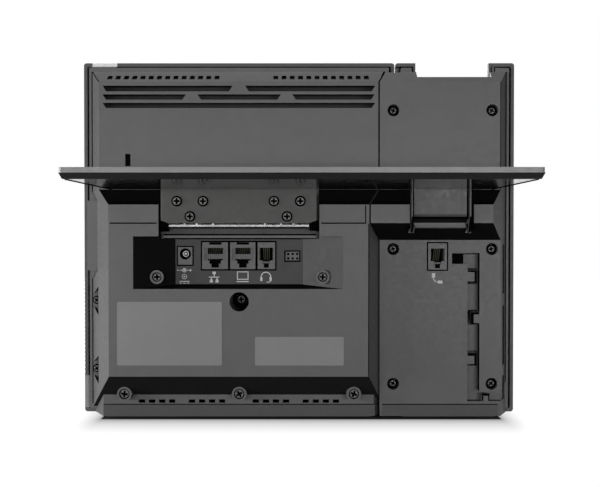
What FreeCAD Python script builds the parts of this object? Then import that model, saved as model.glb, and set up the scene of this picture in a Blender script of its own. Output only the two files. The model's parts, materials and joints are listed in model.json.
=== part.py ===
import FreeCAD, Part
import os

# A desk telephone with a touch display, standing upright, seen as a set of separate pieces.
# Millimetres. X runs to the right as the user sees the front, Y runs from the front to the back,
# Z runs up. The origin lies under the middle of the phone, on the surface that it stands on.

V = FreeCAD.Vector
DIRECTIONS = {"x": V(1, 0, 0), "y": V(0, 1, 0), "z": V(0, 0, 1)}

# Overall sizes
MAIN_WIDTH = 180.0
MODULE_WIDTH = 69.0
SEAM = 0.5
TOP_Z = 203.0
PAD = 0.5

# Depth levels, from the front face to the raised back
FRONT_Y = -12.0
RIM_Y = -8.0
SHELF_Y = -5.0
PANEL_Y = 5.0
PLATEAU_Y = 20.0

# Shells
WALL = 2.0
RIM = 2.0
GROOVE = 0.6
SIDE_GROOVE = 0.9
FRONT_WALL = 1.8
FRONT_BACK_Y = FRONT_Y + FRONT_WALL
SHELF_WALL = 1.5
FIT = 0.1

# Left and right edges of the two units
MODULE_LEFT = -(MAIN_WIDTH + SEAM + MODULE_WIDTH) / 2
MODULE_RIGHT = MODULE_LEFT + MODULE_WIDTH
MAIN_LEFT = MODULE_RIGHT + SEAM
MAIN_RIGHT = MAIN_LEFT + MAIN_WIDTH

# Side slopes of the raised backs: X at the shelf, and the lean for each millimetre further back
MAIN_SLOPES = ((-49.0, 0.413), (119.1, -0.57))
LEDGE_SLOPES = ((-48.2, 0.57), (116.8, -0.57))
MODULE_SLOPE = (-119.2, 0.49)
BACK_SEAM = 0.9
MODULE_OVERHANG_Y = -4.4

# Heights of the raised backs
BAND_FRONT_Y = -7.7
BAND_FOOT_Y = 4.6
BAND_TOP = 7.2
LEDGE_TOP = 12.75
PLATEAU_BOTTOM = 25.4
PLATEAU_TOP = 120.3
SLOPE_TOP = 129.2
PANEL_TOP = 190.2
CHAMFER_TOP = 197.4

# Jack recess in the raised back
RECESS_OUTER = (-26.2, 93.1)
RECESS_INNER = (-2.0, 69.7)
RECESS_BOTTOM = (73.6, 75.6)
RECESS_TOP = 102.8
JACK_Y = 8.0

# Hinge of the stand
HINGE_Y = 16.0
HINGE_Z = 108.4
ROD_R = 1.5
RUN = 0.06
POCKET_X = (-11.3, 77.3)
POCKET_BOTTOM = 101.4
BRACKET_X = (-9.8, 75.8)
BRACKET_Y = (19.0, 21.0)
BRACKET_BOTTOM = 110.0
LEAF_X = (-5.4, 71.6)

# Stand plate, held straight out
PLATE_X = (-107.0, 104.0)
PLATE_Y = (19.0, 124.0)
PLATE_Z = (128.7, 133.5)
SKIN = 1.6
STRIP_START = 116.0
STRIP_BEVEL = (6.0, 2.4)

# Side arm of the stand, on the handset module
ARM_X = (-94.7, -61.7)
ARM_FLANGE = 1.2
ARM_FLANGE_Y = (18.0, 23.0)
ARM_BOTTOM = 113.4
NOTCH_X = (-96.3, -61.1)

# Display
GLASS_X = (-50.25, 119.75)
GLASS_Z = (92.0, 198.5)
GLASS_THICK = 1.2
LCD_X = (-47.75, 117.25)
LCD_Z = (98.4, 195.4)
LCD_BACK_Y = -7.2
TRAY_THICK = 0.5

# Main board
BOARD_Y = (-6.4, -4.8)

# Speaker grille, which wraps round the right-hand edge
GRILLE_X = 66.0
GRILLE_Z = (22.5, 77.8)
GRILLE_THICK = 1.6
GRILLE_WRAP = 1.25
RIB_PITCH = 2.46
RIB_GROOVE = 1.2
SPEAKER_AT = (93.0, 50.0)
SPEAKER_R = 20.0

# Keys
KEY_SIZE = (15.0, 9.0)
KEY_PROUD = 1.0
KEY_GAP = 0.35
KEY_ROWS = {
    "key_home": (-36.0, 56.0),
    "key_headset": (-11.0, 56.0),
    "key_speaker": (14.0, 56.0),
    "key_mute": (39.0, 56.0),
    "key_volume_down": (-11.0, 36.0),
    "key_volume_up": (14.0, 36.0),
}

# Handset and its cradle
HANDSET_X = -88.7
EAR_HALF = 20.0
HANDSET_Z = (8.0, 191.5)
HANDSET_IN_Y = -5.2
HANDSET_OUT_Y = -29.0
HANDSET_CROWN_Y = -37.5
GRIP_IN_Y = -21.0
EAR_Z = 177.0
HANDSET_WALL = 1.8
CUP_GAP = 1.2
CUP_FLOOR_Y = -4.5
CUP_WALL = 1.5
EAR_CUP_Z = 147.0
MOUTH_CUP_Z = (7.5, 55.0)
NOTCH_Z = 193.6
LIFT_SLOPE = 0.36

# Screws of the housings
HEAD_R = 2.4
HEAD_T = 1.6
SHANK_R = 1.25
CASE_SCREWS = {
    "plateau": [(32.9, 66.7)],
    "ledge": [(98.0, 14.2), (33.5, 14.2), (-30.8, 14.2)],
    "recess": [(78.8, 80.2), (-13.2, 80.2)],
    "edge": [(116.6, 66.0), (116.6, 26.6)],
}
SCREW_SEATS = {"plateau": 0.5, "ledge": 9.4, "recess": 14.4, "edge": -4.2}
SCREW_HEADS = {"plateau": 2.9, "ledge": 2.7, "recess": 2.4, "edge": 2.4}
HEAD_CLEAR = 0.25
BOSS_WALL = 1.2
BOSS_PROUD = 2.3
MODULE_SCREWS = [(x, z) for x in (-53.5, -109.4) for z in (174.0, 95.5, 18.9)]


def box(x, y, z):
    """A block between two corners, given as a pair for each axis."""
    return Part.makeBox(x[1] - x[0], y[1] - y[0], z[1] - z[0], V(x[0], y[0], z[0]))


def outline(points, axis, low, grow=0.0):
    """A polygon across an axis, made larger or smaller all round by grow."""
    order = {"x": lambda a, b: V(low, a, b), "y": lambda a, b: V(a, low, b), "z": lambda a, b: V(a, b, low)}
    corners = [order[axis](a, b) for a, b in points]
    wire = Part.makePolygon(corners + corners[:1])
    return wire.makeOffset2D(grow, 2) if grow else wire


def prism(points, axis, low, high, grow=0.0):
    """A straight block whose section across the axis is a polygon."""
    face = Part.Face(outline(points, axis, low, grow))
    return face.extrude(DIRECTIONS[axis] * (high - low))


def rod(axis, centre, radius, low, high):
    """A cylinder along an axis; centre gives its other two coordinates."""
    starts = {"x": V(low, *centre), "y": V(centre[0], low, centre[1]), "z": V(*centre, low)}
    return Part.makeCylinder(radius, high - low, starts[axis], DIRECTIONS[axis])


def fuse(solids):
    """One solid out of several that touch or overlap."""
    solids = list(solids)
    return solids[0].multiFuse(solids[1:]).removeSplitter() if len(solids) > 1 else solids[0]


def cut(solid, tools):
    """A solid with every tool taken away."""
    tools = list(tools)
    return solid.cut(Part.makeCompound(tools)) if tools else solid


def round_edges(solid, radius, along):
    """Rounds the straight edges that run along one axis."""
    edges = []
    for edge in solid.Edges:
        if isinstance(edge.Curve, Part.Line) and abs(edge.Curve.Direction.dot(DIRECTIONS[along])) > 0.999:
            edges.append(edge)
    return solid.makeFillet(radius, edges)


def spread(pair, amount):
    """A low and high value, moved apart by an amount at each end."""
    return (pair[0] - amount, pair[1] + amount)


def keep_solid(shape):
    """The one solid of a shape, or its largest where a cut left crumbs."""
    return max(shape.Solids, key=lambda solid: solid.Volume)


# Raised backs, each as a side profile and a plan

UPPER_SIDE = [(PLATEAU_Y, PLATEAU_TOP), (PANEL_Y, SLOPE_TOP), (PANEL_Y, PANEL_TOP), (SHELF_Y, CHAMFER_TOP)]
BOTTOM_RISE = (PLATEAU_BOTTOM - LEDGE_TOP) / (PLATEAU_Y - PANEL_Y)
SLOPE_FOOT = PLATEAU_BOTTOM - BOTTOM_RISE * (PLATEAU_Y - SHELF_Y)
MAIN_SIDE = [(SHELF_Y, SLOPE_FOOT), (PLATEAU_Y, PLATEAU_BOTTOM)] + UPPER_SIDE
LEDGE_SIDE = [(BAND_FOOT_Y, PAD), (PANEL_Y, BAND_TOP), (PANEL_Y, LEDGE_TOP)]
MODULE_SIDE = [(BAND_FOOT_Y, PAD), (PANEL_Y, BAND_TOP), (PANEL_Y, 100.6), (PLATEAU_Y, 110.1)] + UPPER_SIDE
BAND_STEP = PAD + RIM + GROOVE + WALL
BAND_SIDE = [(SHELF_Y, BAND_STEP), (BAND_FRONT_Y, BAND_STEP), (BAND_FRONT_Y, PAD)]


def slope_x(slope, y):
    """Where a side slope lies at a depth."""
    return slope[0] + slope[1] * (y - SHELF_Y)


def plan_between(slopes, front):
    """Plan of a form between two side slopes, from a depth to the plateau."""
    left, right = slopes
    return [(slope_x(left, front), front), (slope_x(right, front), front),
            (slope_x(right, PLATEAU_Y), PLATEAU_Y), (slope_x(left, PLATEAU_Y), PLATEAU_Y)]


def module_plan(front):
    """Plan of the module's raised back; its inner side lies along the main unit's side."""
    step = MODULE_RIGHT - RIM - SIDE_GROOVE
    near, far = [slope_x(MAIN_SLOPES[0], y) - BACK_SEAM for y in (MODULE_OVERHANG_Y, PLATEAU_Y)]
    return [(slope_x(MODULE_SLOPE, front), front), (step, front), (step, MODULE_OVERHANG_Y),
            (near, MODULE_OVERHANG_Y), (far, PLATEAU_Y), (slope_x(MODULE_SLOPE, PLATEAU_Y), PLATEAU_Y)]


def raised_form(side, plan, inset=0.0):
    """A form with a side profile and a plan, mitred where its slopes meet."""
    return prism(side, "x", MODULE_LEFT, MAIN_RIGHT, -inset).common(prism(plan, "z", 0, TOP_Z, -inset))


def hollow_form(side, plan):
    """The hollow of a raised back: plan gives its plan from any depth, and it is open to the front."""
    deep = FRONT_Y - WALL
    hollow = raised_form(side + [(deep, side[-1][1]), (deep, side[0][1])], plan(deep), WALL)
    return hollow.common(box((MODULE_LEFT, MAIN_RIGHT), (SHELF_Y - SHELF_WALL, PLATEAU_Y), (0, TOP_Z)))


def foot_groove(x, spans):
    """Shallow groove in the shelf along the foot of a side slope."""
    return [box((x, x + 0.6), (SHELF_Y - 0.5, SHELF_Y + 1), span) for span in spans]


def rim_ring(left, right):
    """Outer form and hollow of the flat rim that sits inside the front piece."""
    x = (left + RIM + SIDE_GROOVE, right - RIM - SIDE_GROOVE)
    z = (PAD + RIM + GROOVE, TOP_Z - RIM - GROOVE)
    outer = round_edges(box(x, (FRONT_BACK_Y, SHELF_Y), z), 1.8, "y")
    inner = box(spread(x, -WALL), (FRONT_BACK_Y, SHELF_Y - SHELF_WALL), spread(z, -WALL))
    return outer, inner


def screw_well(x, z, seat_y, bore_r, top_y, foot_y):
    """Cutter and wall of a screw well: a bore down to the seat and a hole on through."""
    cutter = fuse([rod("y", (x, z), bore_r, seat_y, top_y),
                   rod("y", (x, z), SHANK_R + FIT, foot_y - 1, seat_y)])
    half = bore_r + 1.5
    wall = fuse([box((x - half, x + half), (max(seat_y - WALL, foot_y), top_y), (z - half, z + half)),
                 box((x - 3.2, x + 3.2), (foot_y, seat_y), (z - 3.2, z + 3.2))])
    return cutter, wall


def screw(x, z, seat_y, tip_y, head_r=HEAD_R, head_t=HEAD_T):
    """A screw, head outwards."""
    head = rod("y", (x, z), head_r, seat_y, seat_y + head_t)
    return fuse([head, rod("y", (x, z), SHANK_R, tip_y, seat_y)])


def post(x, z, half, back):
    """A square post that stands on the back of a front piece."""
    return box((x - half, x + half), (FRONT_BACK_Y, back), (z - half, z + half))


# Main unit

def recess_form(grow):
    """The jack recess, with slanted ends; grow gives the form of its walls."""
    plan = [(RECESS_OUTER[0], PLATEAU_Y + 1), (RECESS_INNER[0], JACK_Y), (RECESS_INNER[1], JACK_Y),
            (RECESS_OUTER[1], PLATEAU_Y + 1)]
    side = [(JACK_Y, RECESS_BOTTOM[1]), (PLATEAU_Y + 1, RECESS_BOTTOM[0]), (PLATEAU_Y + 1, RECESS_TOP),
            (JACK_Y, RECESS_TOP)]
    return prism(plan, "z", 0, TOP_Z, grow).common(prism(side, "x", MODULE_LEFT, MAIN_RIGHT, grow))


def pocket_form(grow):
    """The pocket of the stand's hinge, open upwards through the slope."""
    depth = (PANEL_Y - grow, PLATEAU_Y + 1)
    return box(spread(POCKET_X, grow), depth, (POCKET_BOTTOM - grow, SLOPE_TOP + 5))


def edge_pocket(z, grow):
    """A slant-ended pocket in the side slope, with its screw at the bottom."""
    long_half, short_half, floor = 8.2, 3.5, SCREW_SEATS["edge"]
    points = [(114.1, z - long_half), (118.9, z - short_half),
              (118.9, z + short_half), (114.1, z + long_half)]
    return prism(points, "y", floor - grow, PLATEAU_Y, grow)


def louvre_tools():
    """Long slots in the upper back, each wider at its top edge."""
    rows = [((184.7, 187.9), [(37.6, 111.1), (-43.1, 30.4)]),
            ((180.0, 183.0), [(64.0, 111.1), (10.2, 57.4), (-42.8, 3.8)]),
            ((175.3, 178.2), [(-43.1, 111.1)])]
    slant = 2.0
    tools = []
    for (low, high), spans in rows:
        for left, right in spans:
            points = [(left, high), (right, high), (right - slant, low), (left + slant, low)]
            tools.append(prism(points, "y", PANEL_Y - WALL - 1, PANEL_Y + 1))
    return tools


def top_vent_tools():
    """Two rows of square holes in the slope along the top."""
    side, pitch, middle_z = 2.3, 4.69, 193.3
    tools = []
    for first, count in ((107.7, 14), (13.2, 12)):
        for index in range(count):
            x = first - index * pitch
            tools.append(box((x - side / 2, x + side / 2), (SHELF_Y - 1, PANEL_Y + 2),
                             (middle_z - side / 2, middle_z + side / 2)))
    return tools


def bottom_vent_tools():
    """Four groups of four short slots in the ledge near the bottom."""
    width, pitch = 3.54, 5.72
    tools = []
    for first in (91.0, 62.6, 26.3, -2.1):
        for index in range(4):
            x = first - index * pitch
            tools.append(box((x - width, x), (PANEL_Y - WALL - 1, PANEL_Y + 1), (8.1, 10.0)))
    return tools


USB_X = (106.7, 120.7)
USB_Y = (-4.1, 1.6)
USB_LENGTH = 13.2
USB_Z = (112.6, 93.8)
PORT_BLOCK = ((110.0, 120.7), (SHELF_Y, 2.5), (83.4, 123.0))


def port_tools():
    """Openings of the two side ports, and the dark corners above and below them."""
    half = USB_LENGTH / 2
    tools = [box(spread(USB_X, 1), USB_Y, (z - half, z + half)) for z in USB_Z]
    low, high = PORT_BLOCK[2]
    for base, tip in ((high, high + 4.6), (low, low - 4.6)):
        tools.append(prism([(114.5, base), (119.9, base), (118.4, tip)], "y", -4.6, PLATEAU_Y))
    return tools


def main_rear_housing():
    """Back shell of the main unit, with its recesses, vents and screw wells."""
    outer, inner = rim_ring(MAIN_LEFT, MAIN_RIGHT)
    body = raised_form(MAIN_SIDE, plan_between(MAIN_SLOPES, SHELF_Y))
    ledge_profile = LEDGE_SIDE + [(SHELF_Y, LEDGE_TOP)] + BAND_SIDE
    ledge = raised_form(ledge_profile, plan_between(LEDGE_SLOPES, BAND_FRONT_Y))
    form = fuse([body, ledge, outer, box(*PORT_BLOCK)])
    hollows = [inner, hollow_form(MAIN_SIDE, lambda front: plan_between(MAIN_SLOPES, front)),
               hollow_form(LEDGE_SIDE, lambda front: plan_between(LEDGE_SLOPES, front))]
    cutters = [recess_form(0), pocket_form(0)]
    walls = [recess_form(WALL), pocket_form(WALL)]
    for x, z in CASE_SCREWS["plateau"]:
        cutter, wall = screw_well(x, z, SCREW_SEATS["plateau"], 5.35, PLATEAU_Y + 1, BOARD_Y[1])
        cutters.append(cutter)
        walls.append(wall)
    for x, z in CASE_SCREWS["edge"]:
        cutters.append(edge_pocket(z, 0))
        cutters.append(rod("y", (x, z), SHANK_R + FIT, FRONT_BACK_Y, 0))
        walls.append(edge_pocket(z, SHELF_WALL))
    shell = cut(form, hollows)
    shell = fuse([shell, fuse(walls).common(form)])
    shell = cut(shell, cutters)

    bosses = []
    holes = []
    for place in ("recess", "ledge"):
        seat = SCREW_SEATS[place]
        bore_r = SCREW_HEADS[place] + HEAD_CLEAR
        for x, z in CASE_SCREWS[place]:
            bosses.append(rod("y", (x, z), bore_r + BOSS_WALL, SHELF_Y, seat + BOSS_PROUD))
            holes.append(rod("y", (x, z), bore_r, seat, seat + BOSS_PROUD + 1))
            holes.append(rod("y", (x, z), SHANK_R + FIT, SHELF_Y - 1, seat))
    # Ears under the module, which carry the three inner module screws
    inner_screws = [(x, z) for x, z in MODULE_SCREWS if x > MODULE_RIGHT]
    ear_x, ear_y = (MAIN_LEFT + 0.25, MAIN_LEFT + 5), (RIM_Y + FIT, SHELF_Y)
    ears = [box(ear_x, ear_y, (z - 4, z + 4)) for x, z in inner_screws]
    holes += [rod("y", spot, SHANK_R + FIT, RIM_Y, 0) for spot in inner_screws]
    shell = fuse([shell] + bosses + ears)
    panel_hole = box(RECESS_INNER, (PANEL_Y - WALL - 1, JACK_Y), (RECESS_BOTTOM[1], POCKET_BOTTOM))
    lock_slot = box((95.4, 98.4), (0, PANEL_Y + 1), (142.4, 149.4))
    line_y, line_z = (PLATEAU_Y - 0.4, PLATEAU_Y + 1), (109.8, 110.2)
    lines = [box((POCKET_X[1], 110), line_y, line_z), box((-45, POCKET_X[0]), line_y, line_z)]
    low, high = PORT_BLOCK[2]
    lines += foot_groove(MAIN_SLOPES[1][0], [(6.0, low - 5), (high + 5, CHAMFER_TOP)])
    vents = louvre_tools() + top_vent_tools() + bottom_vent_tools()
    return keep_solid(cut(shell, holes + lines + [panel_hole, lock_slot] + vents + port_tools()))


def front_bezel():
    """Front frame of the main unit: window, key holes, grille seat and board posts."""
    x = (MAIN_LEFT, MAIN_RIGHT)
    z = (PAD, TOP_Z)
    frame = round_edges(box(x, (FRONT_Y, RIM_Y), z), 1.6, "y")
    front_edges = [edge for edge in frame.Edges if edge.BoundBox.YMax < FRONT_Y + 0.01]
    frame = frame.makeChamfer(0.6, front_edges)
    frame = frame.cut(box(spread(x, -RIM), (FRONT_BACK_Y, RIM_Y), spread(z, -RIM)))
    back = BOARD_Y[0]
    posts = [post(px, pz, 2.5, back) for px, pz in
             ((-44.0, 26.0), (-44.0, 86.0), (57.0, 26.0), (32.9, 66.7), (106.0, 86.0))]
    posts += [post(px, pz, 2.7, SHELF_Y) for px, pz in CASE_SCREWS["ledge"] + CASE_SCREWS["recess"]]
    ring_inside = MAIN_RIGHT - RIM - SIDE_GROOVE - WALL - 0.3
    grille_seat = (GRILLE_X - 3, ring_inside)
    posts.append(box(grille_seat, (FRONT_BACK_Y, FRONT_BACK_Y + 1), spread(GRILLE_Z, 2.5)))
    frame = fuse([frame] + posts)
    tools = [box(GLASS_X, (FRONT_Y, FRONT_Y + GLASS_THICK), GLASS_Z),
             box(spread(LCD_X, 0.25), (FRONT_Y, FRONT_BACK_Y), spread(LCD_Z, 0.25))]
    grille_top = FRONT_Y + GRILLE_THICK
    tools.append(box((GRILLE_X - FIT, MAIN_RIGHT + 1), (FRONT_Y, grille_top), spread(GRILLE_Z, FIT)))
    tools.append(box((MAIN_RIGHT - GRILLE_WRAP, MAIN_RIGHT + 1), (FRONT_Y, RIM_Y), spread(GRILLE_Z, FIT)))
    tools.append(box((GRILLE_X + 3, MAIN_RIGHT - 5), (FRONT_Y, 0), spread(GRILLE_Z, -2.5)))
    for px, pz in KEY_ROWS.values():
        tools.append(key_form(px, pz, KEY_GAP, FRONT_Y - 1, FRONT_BACK_Y))
    tools.append(box((105.3, 119.8), (FRONT_Y, RIM_Y), (TOP_Z - RIM - GROOVE, TOP_Z)))
    for px, pz in sum(CASE_SCREWS.values(), []):
        tools.append(rod("y", (px, pz), SHANK_R + 0.02, FRONT_BACK_Y + 0.4, 0))
    return keep_solid(cut(frame, tools))


def message_light():
    """Light bar in the top edge, over the main unit's right-hand end."""
    bar = box((105.3 + FIT, 119.8 - FIT), (FRONT_Y, RIM_Y + FIT), (TOP_Z - RIM - GROOVE, TOP_Z))
    return round_edges(bar, 0.3, "x")


def display_glass():
    """Cover glass of the touch display."""
    return box(spread(GLASS_X, -FIT), (FRONT_Y, FRONT_Y + GLASS_THICK), spread(GLASS_Z, -FIT))


def lcd_module():
    """Display panel, bonded to the back of the glass."""
    return box(LCD_X, (FRONT_Y + GLASS_THICK, LCD_BACK_Y), LCD_Z)


def lcd_tray():
    """Folded sheet tray behind the panel; its two flanges lie on the front frame."""
    low, high = LCD_Z
    back = LCD_BACK_Y + TRAY_THICK
    t = TRAY_THICK
    flange, gap = 2.2, 0.25
    front, step = FRONT_BACK_Y, FRONT_BACK_Y + t
    points = [(front, high + t + flange), (front, high + gap), (LCD_BACK_Y, high + gap),
              (LCD_BACK_Y, low - gap), (front, low - gap), (front, low - t - flange),
              (step, low - t - flange), (step, low - t - gap), (back, low - t - gap),
              (back, high + t + gap), (step, high + t + gap), (step, high + t + flange)]
    return prism(points, "x", LCD_X[0], LCD_X[1])


def speaker_grille():
    """Ribbed grille: one groove after another runs across the front and round the edge."""
    back = FRONT_Y + GRILLE_THICK
    body = fuse([box((GRILLE_X, MAIN_RIGHT), (FRONT_Y, back), GRILLE_Z),
                 box((MAIN_RIGHT - GRILLE_WRAP, MAIN_RIGHT), (FRONT_Y, RIM_Y), GRILLE_Z)])
    depth = 1.0
    tools = []
    count = int((GRILLE_Z[1] - GRILLE_Z[0]) / RIB_PITCH)
    for index in range(count):
        z = GRILLE_Z[0] + RIB_PITCH * (index + 0.6)
        groove = (z - RIB_GROOVE / 2, z + RIB_GROOVE / 2)
        tools.append(box((GRILLE_X + 1.5, MAIN_RIGHT + 1), (FRONT_Y - 1, FRONT_Y + depth), groove))
        tools.append(box((MAIN_RIGHT - 0.8, MAIN_RIGHT + 1), (FRONT_Y, RIM_Y + 1), groove))
    # Windows in the back open the grooves on both sides of an upright tie
    window, step = 20.5, 22.5
    for index in range(2):
        x = GRILLE_X + 5 + index * step
        tools.append(box((x, x + window), (FRONT_Y + depth - 0.01, back + 1), spread(GRILLE_Z, -4)))
    return keep_solid(cut(body, tools))


def loudspeaker():
    """Round driver: flange, basket and magnet on one axis."""
    front = FRONT_BACK_Y + 1
    flange_back = front + 1.4
    basket_back = 1.5
    foot = V(SPEAKER_AT[0], flange_back, SPEAKER_AT[1])
    basket = Part.makeCone(17.5, 14.0, basket_back - flange_back, foot, DIRECTIONS["y"])
    return fuse([rod("y", SPEAKER_AT, SPEAKER_R, front, flange_back), basket,
                 rod("y", SPEAKER_AT, 14.0, basket_back, 8.5)])


def key_form(x, z, grow, low, high):
    """Outline of a key with round corners, as a block between two depths."""
    half_x, half_z = KEY_SIZE[0] / 2 + grow, KEY_SIZE[1] / 2 + grow
    block = box((x - half_x, x + half_x), (low, high), (z - half_z, z + half_z))
    return round_edges(block, 2.5 + grow, "y")


def key(x, z):
    """A key cap with the flange that holds it in and the stem that works its spring pad."""
    cap = key_form(x, z, 0, FRONT_Y - KEY_PROUD, FRONT_BACK_Y + 0.6)
    front = [edge for edge in cap.Edges if edge.BoundBox.YMax < FRONT_Y - KEY_PROUD + 0.01]
    cap = cap.makeChamfer(0.4, front)
    wide, high = KEY_SIZE[0] / 2 + 1.2, KEY_SIZE[1] / 2 + 1.2
    flange = box((x - wide, x + wide), (FRONT_BACK_Y + 0.35, FRONT_BACK_Y + 1.1), (z - high, z + high))
    stem = box((x - 1.8, x + 1.8), (FRONT_BACK_Y + 0.6, -8.5), (z - 1.8, z + 1.8))
    return fuse([cap, flange, stem])


def key_mat():
    """Rubber mat with one raised spring pad under each key."""
    mat = box((-45.0, 48.0), (BOARD_Y[0] - 0.6, BOARD_Y[0]), (29.5, 62.5))
    top = BOARD_Y[0] - 0.6
    domes = [box((x - 3.2, x + 3.2), (top - 0.35, top), (z - 3.2, z + 3.2)) for x, z in KEY_ROWS.values()]
    return fuse([mat] + domes)


def main_board():
    """L-shaped circuit board: keys below the display, jacks across its top."""
    points = [(-46.2, 20.0), (62.0, 20.0), (62.0, 78.0), (111.0, 78.0), (111.0, 97.4), (-46.2, 97.4)]
    board = prism(points, "y", *BOARD_Y)
    holes = [rod("y", spot, 4.2, -9, 0) for spot in CASE_SCREWS["recess"]]
    holes += [rod("y", spot, SHANK_R + FIT, -9, 0) for spot in CASE_SCREWS["plateau"]]
    return cut(board, holes)


LAN_X = (47.2, 31.6)
HEADSET_X = 18.4
JACK_Z = (83.9, 99.7)
EIGHT_WAY = (11.9, 6.4)
FOUR_WAY = (7.9, 4.2)
JACK_FRONT_Y = JACK_Y + 0.2
POWER_X, POWER_Z = 64.0, 92.8
HEADER_X, HEADER_Z = 3.5, 91.5


def jack_panel():
    """Insert that closes the recess and frames the jacks."""
    plate_z = (RECESS_BOTTOM[1] + FIT, POCKET_BOTTOM - 0.3)
    plate = box(spread(RECESS_INNER, -FIT), (PANEL_Y + 1, JACK_Y), plate_z)
    flange = box(spread(RECESS_INNER, 1.4), (PANEL_Y, PANEL_Y + 1), (RECESS_BOTTOM[1] - 1.4, 99.0))
    tools = [box((12.7, 55.2), (0, 10), (83.4, 100.2)),
             box((POWER_X - 4.5, POWER_X + 4.5), (0, 10), (86.2, 97.2)),
             box((HEADER_X - 4.75, HEADER_X + 4.75), (0, 10), (HEADER_Z - 3.2, HEADER_Z + 3.2))]
    return cut(fuse([plate, flange]), tools)


def modular_jack(x, width, plug, z, front, back):
    """A modular jack: plug cavity above, stepped latch slot below."""
    cavity, latch = plug
    body = box((x - width / 2, x + width / 2), (back, front), z)
    top = z[1] - 3.4
    floor = top - 7.2
    depth = front - 10.6
    tools = [box((x - cavity / 2, x + cavity / 2), (depth, front + 1), (floor, top)),
             box((x - latch / 2, x + latch / 2), (depth, front + 1), (floor - 1.8, floor)),
             box((x - latch / 3, x + latch / 3), (depth, front + 1), (floor - 4.0, floor)),
             box((x - cavity / 3.4, x + cavity / 3.4), (front - 0.6, front + 1), (z[1] - 1.7, z[1] - 0.4))]
    return cut(body, tools)


def lan_jack(x):
    """Eight-way network jack."""
    return modular_jack(x, 15.0, EIGHT_WAY, JACK_Z, JACK_FRONT_Y, BOARD_Y[1])


def headset_jack():
    """Four-way headset jack beside the network jacks."""
    return modular_jack(HEADSET_X, 10.4, FOUR_WAY, JACK_Z, JACK_FRONT_Y, BOARD_Y[1])


HANDSET_JACK_X = -78.55
HANDSET_JACK_WIDTH = 11.5
HANDSET_JACK_Z = (83.4, 99.2)
MODULE_BOARD_Y = (-8.6, -7.0)


def handset_jack():
    """Four-way handset jack in the module's flat back."""
    front, back = PANEL_Y + 0.2, MODULE_BOARD_Y[1]
    return modular_jack(HANDSET_JACK_X, HANDSET_JACK_WIDTH, FOUR_WAY, HANDSET_JACK_Z, front, back)


def jack_contacts():
    """Sprung contact wires of all the modular jacks, slanting in from the roof of each cavity."""
    pitch = 1.02
    wires = []
    sets = [(x, 8, JACK_FRONT_Y, JACK_Z[1]) for x in LAN_X] + [(HEADSET_X, 4, JACK_FRONT_Y, JACK_Z[1])]
    sets.append((HANDSET_JACK_X, 4, PANEL_Y + 0.2, HANDSET_JACK_Z[1]))
    for x, count, front, top in sets:
        roof = top - 3.4
        for index in range(count):
            wire_x = x + (index - (count - 1) / 2) * pitch
            points = [(front - 2.0, roof), (front - 2.5, roof), (front - 9.0, roof - 2.1),
                      (front - 9.0, roof - 2.6)]
            wires.append(prism(points, "x", wire_x - 0.25, wire_x + 0.25))
    return Part.makeCompound(wires)


def power_jack():
    """Barrel power jack."""
    body = box((POWER_X - 4.4, POWER_X + 4.4), (BOARD_Y[1], JACK_FRONT_Y), (86.3, 97.1))
    return body.cut(rod("y", (POWER_X, POWER_Z), 3.15, JACK_Y - 9.0, 10))


def power_pin():
    """Centre pin of the power jack."""
    pin = rod("y", (POWER_X, POWER_Z), 1.0, JACK_Y - 9.0, JACK_Y - 0.8)
    return pin.makeChamfer(0.3, [edge for edge in pin.Edges if edge.BoundBox.YMin > JACK_Y - 0.9])


HEADER_PITCH = 2.54
HEADER_SPOTS = [(HEADER_X + column * HEADER_PITCH, HEADER_Z + row * HEADER_PITCH)
                for column in (-1, 0, 1) for row in (-0.5, 0.5)]


def header_columns(side, low, high):
    """Square columns at the six places of the service header."""
    half = side / 2
    return [box((x - half, x + half), (low, high), (z - half, z + half)) for x, z in HEADER_SPOTS]


def console_header():
    """Block of the service header, with a square hole over each pin."""
    half_x, half_z = 4.65, 3.1
    body = box((HEADER_X - half_x, HEADER_X + half_x), (BOARD_Y[1], JACK_FRONT_Y),
               (HEADER_Z - half_z, HEADER_Z + half_z))
    return cut(body, header_columns(1.2, JACK_Y - 6.0, JACK_FRONT_Y + 1))


def header_pins():
    """Six square pins, two rows of three, deep in their holes."""
    return Part.makeCompound(header_columns(0.5, JACK_Y - 6.0, JACK_Y - 2.2))


def usb_ports():
    """Metal shells of the two side ports."""
    shells = []
    for z in USB_Z:
        span = (z - USB_LENGTH / 2, z + USB_LENGTH / 2)
        shell = box(USB_X, spread(USB_Y, -0.05), spread(span, -0.05))
        inside = (USB_X[0] + 0.4, USB_X[1] + 1)
        shells.append(shell.cut(box(inside, spread(USB_Y, -0.35), spread(span, -0.35))))
    return Part.makeCompound(shells)


def usb_tongues():
    """Contact tongues inside the side ports."""
    return Part.makeCompound([box((USB_X[0] + 0.4, USB_X[1] - 1.5), (USB_Y[0] + 0.8, USB_Y[0] + 2.6),
                                  (z - 5.5, z + 5.5)) for z in USB_Z])


def case_screws():
    """The eight screws of the main unit."""
    tip = FRONT_BACK_Y + 0.6
    return Part.makeCompound([screw(x, z, SCREW_SEATS[place], tip, SCREW_HEADS[place])
                              for place, spots in CASE_SCREWS.items() for x, z in spots])


def main_foot_pad():
    """Rubber pad under the main unit."""
    return round_edges(box((-41.0, 110.0), (FRONT_Y + 1.0, BAND_FOOT_Y - 0.2), (0, PAD)), 1.5, "z")


# Handset module

CHANNEL_X = (-102.4, -95.6)
CHANNEL_Z = (9.0, 93.3)
CHANNEL_FLOOR_Y = 0.2


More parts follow.
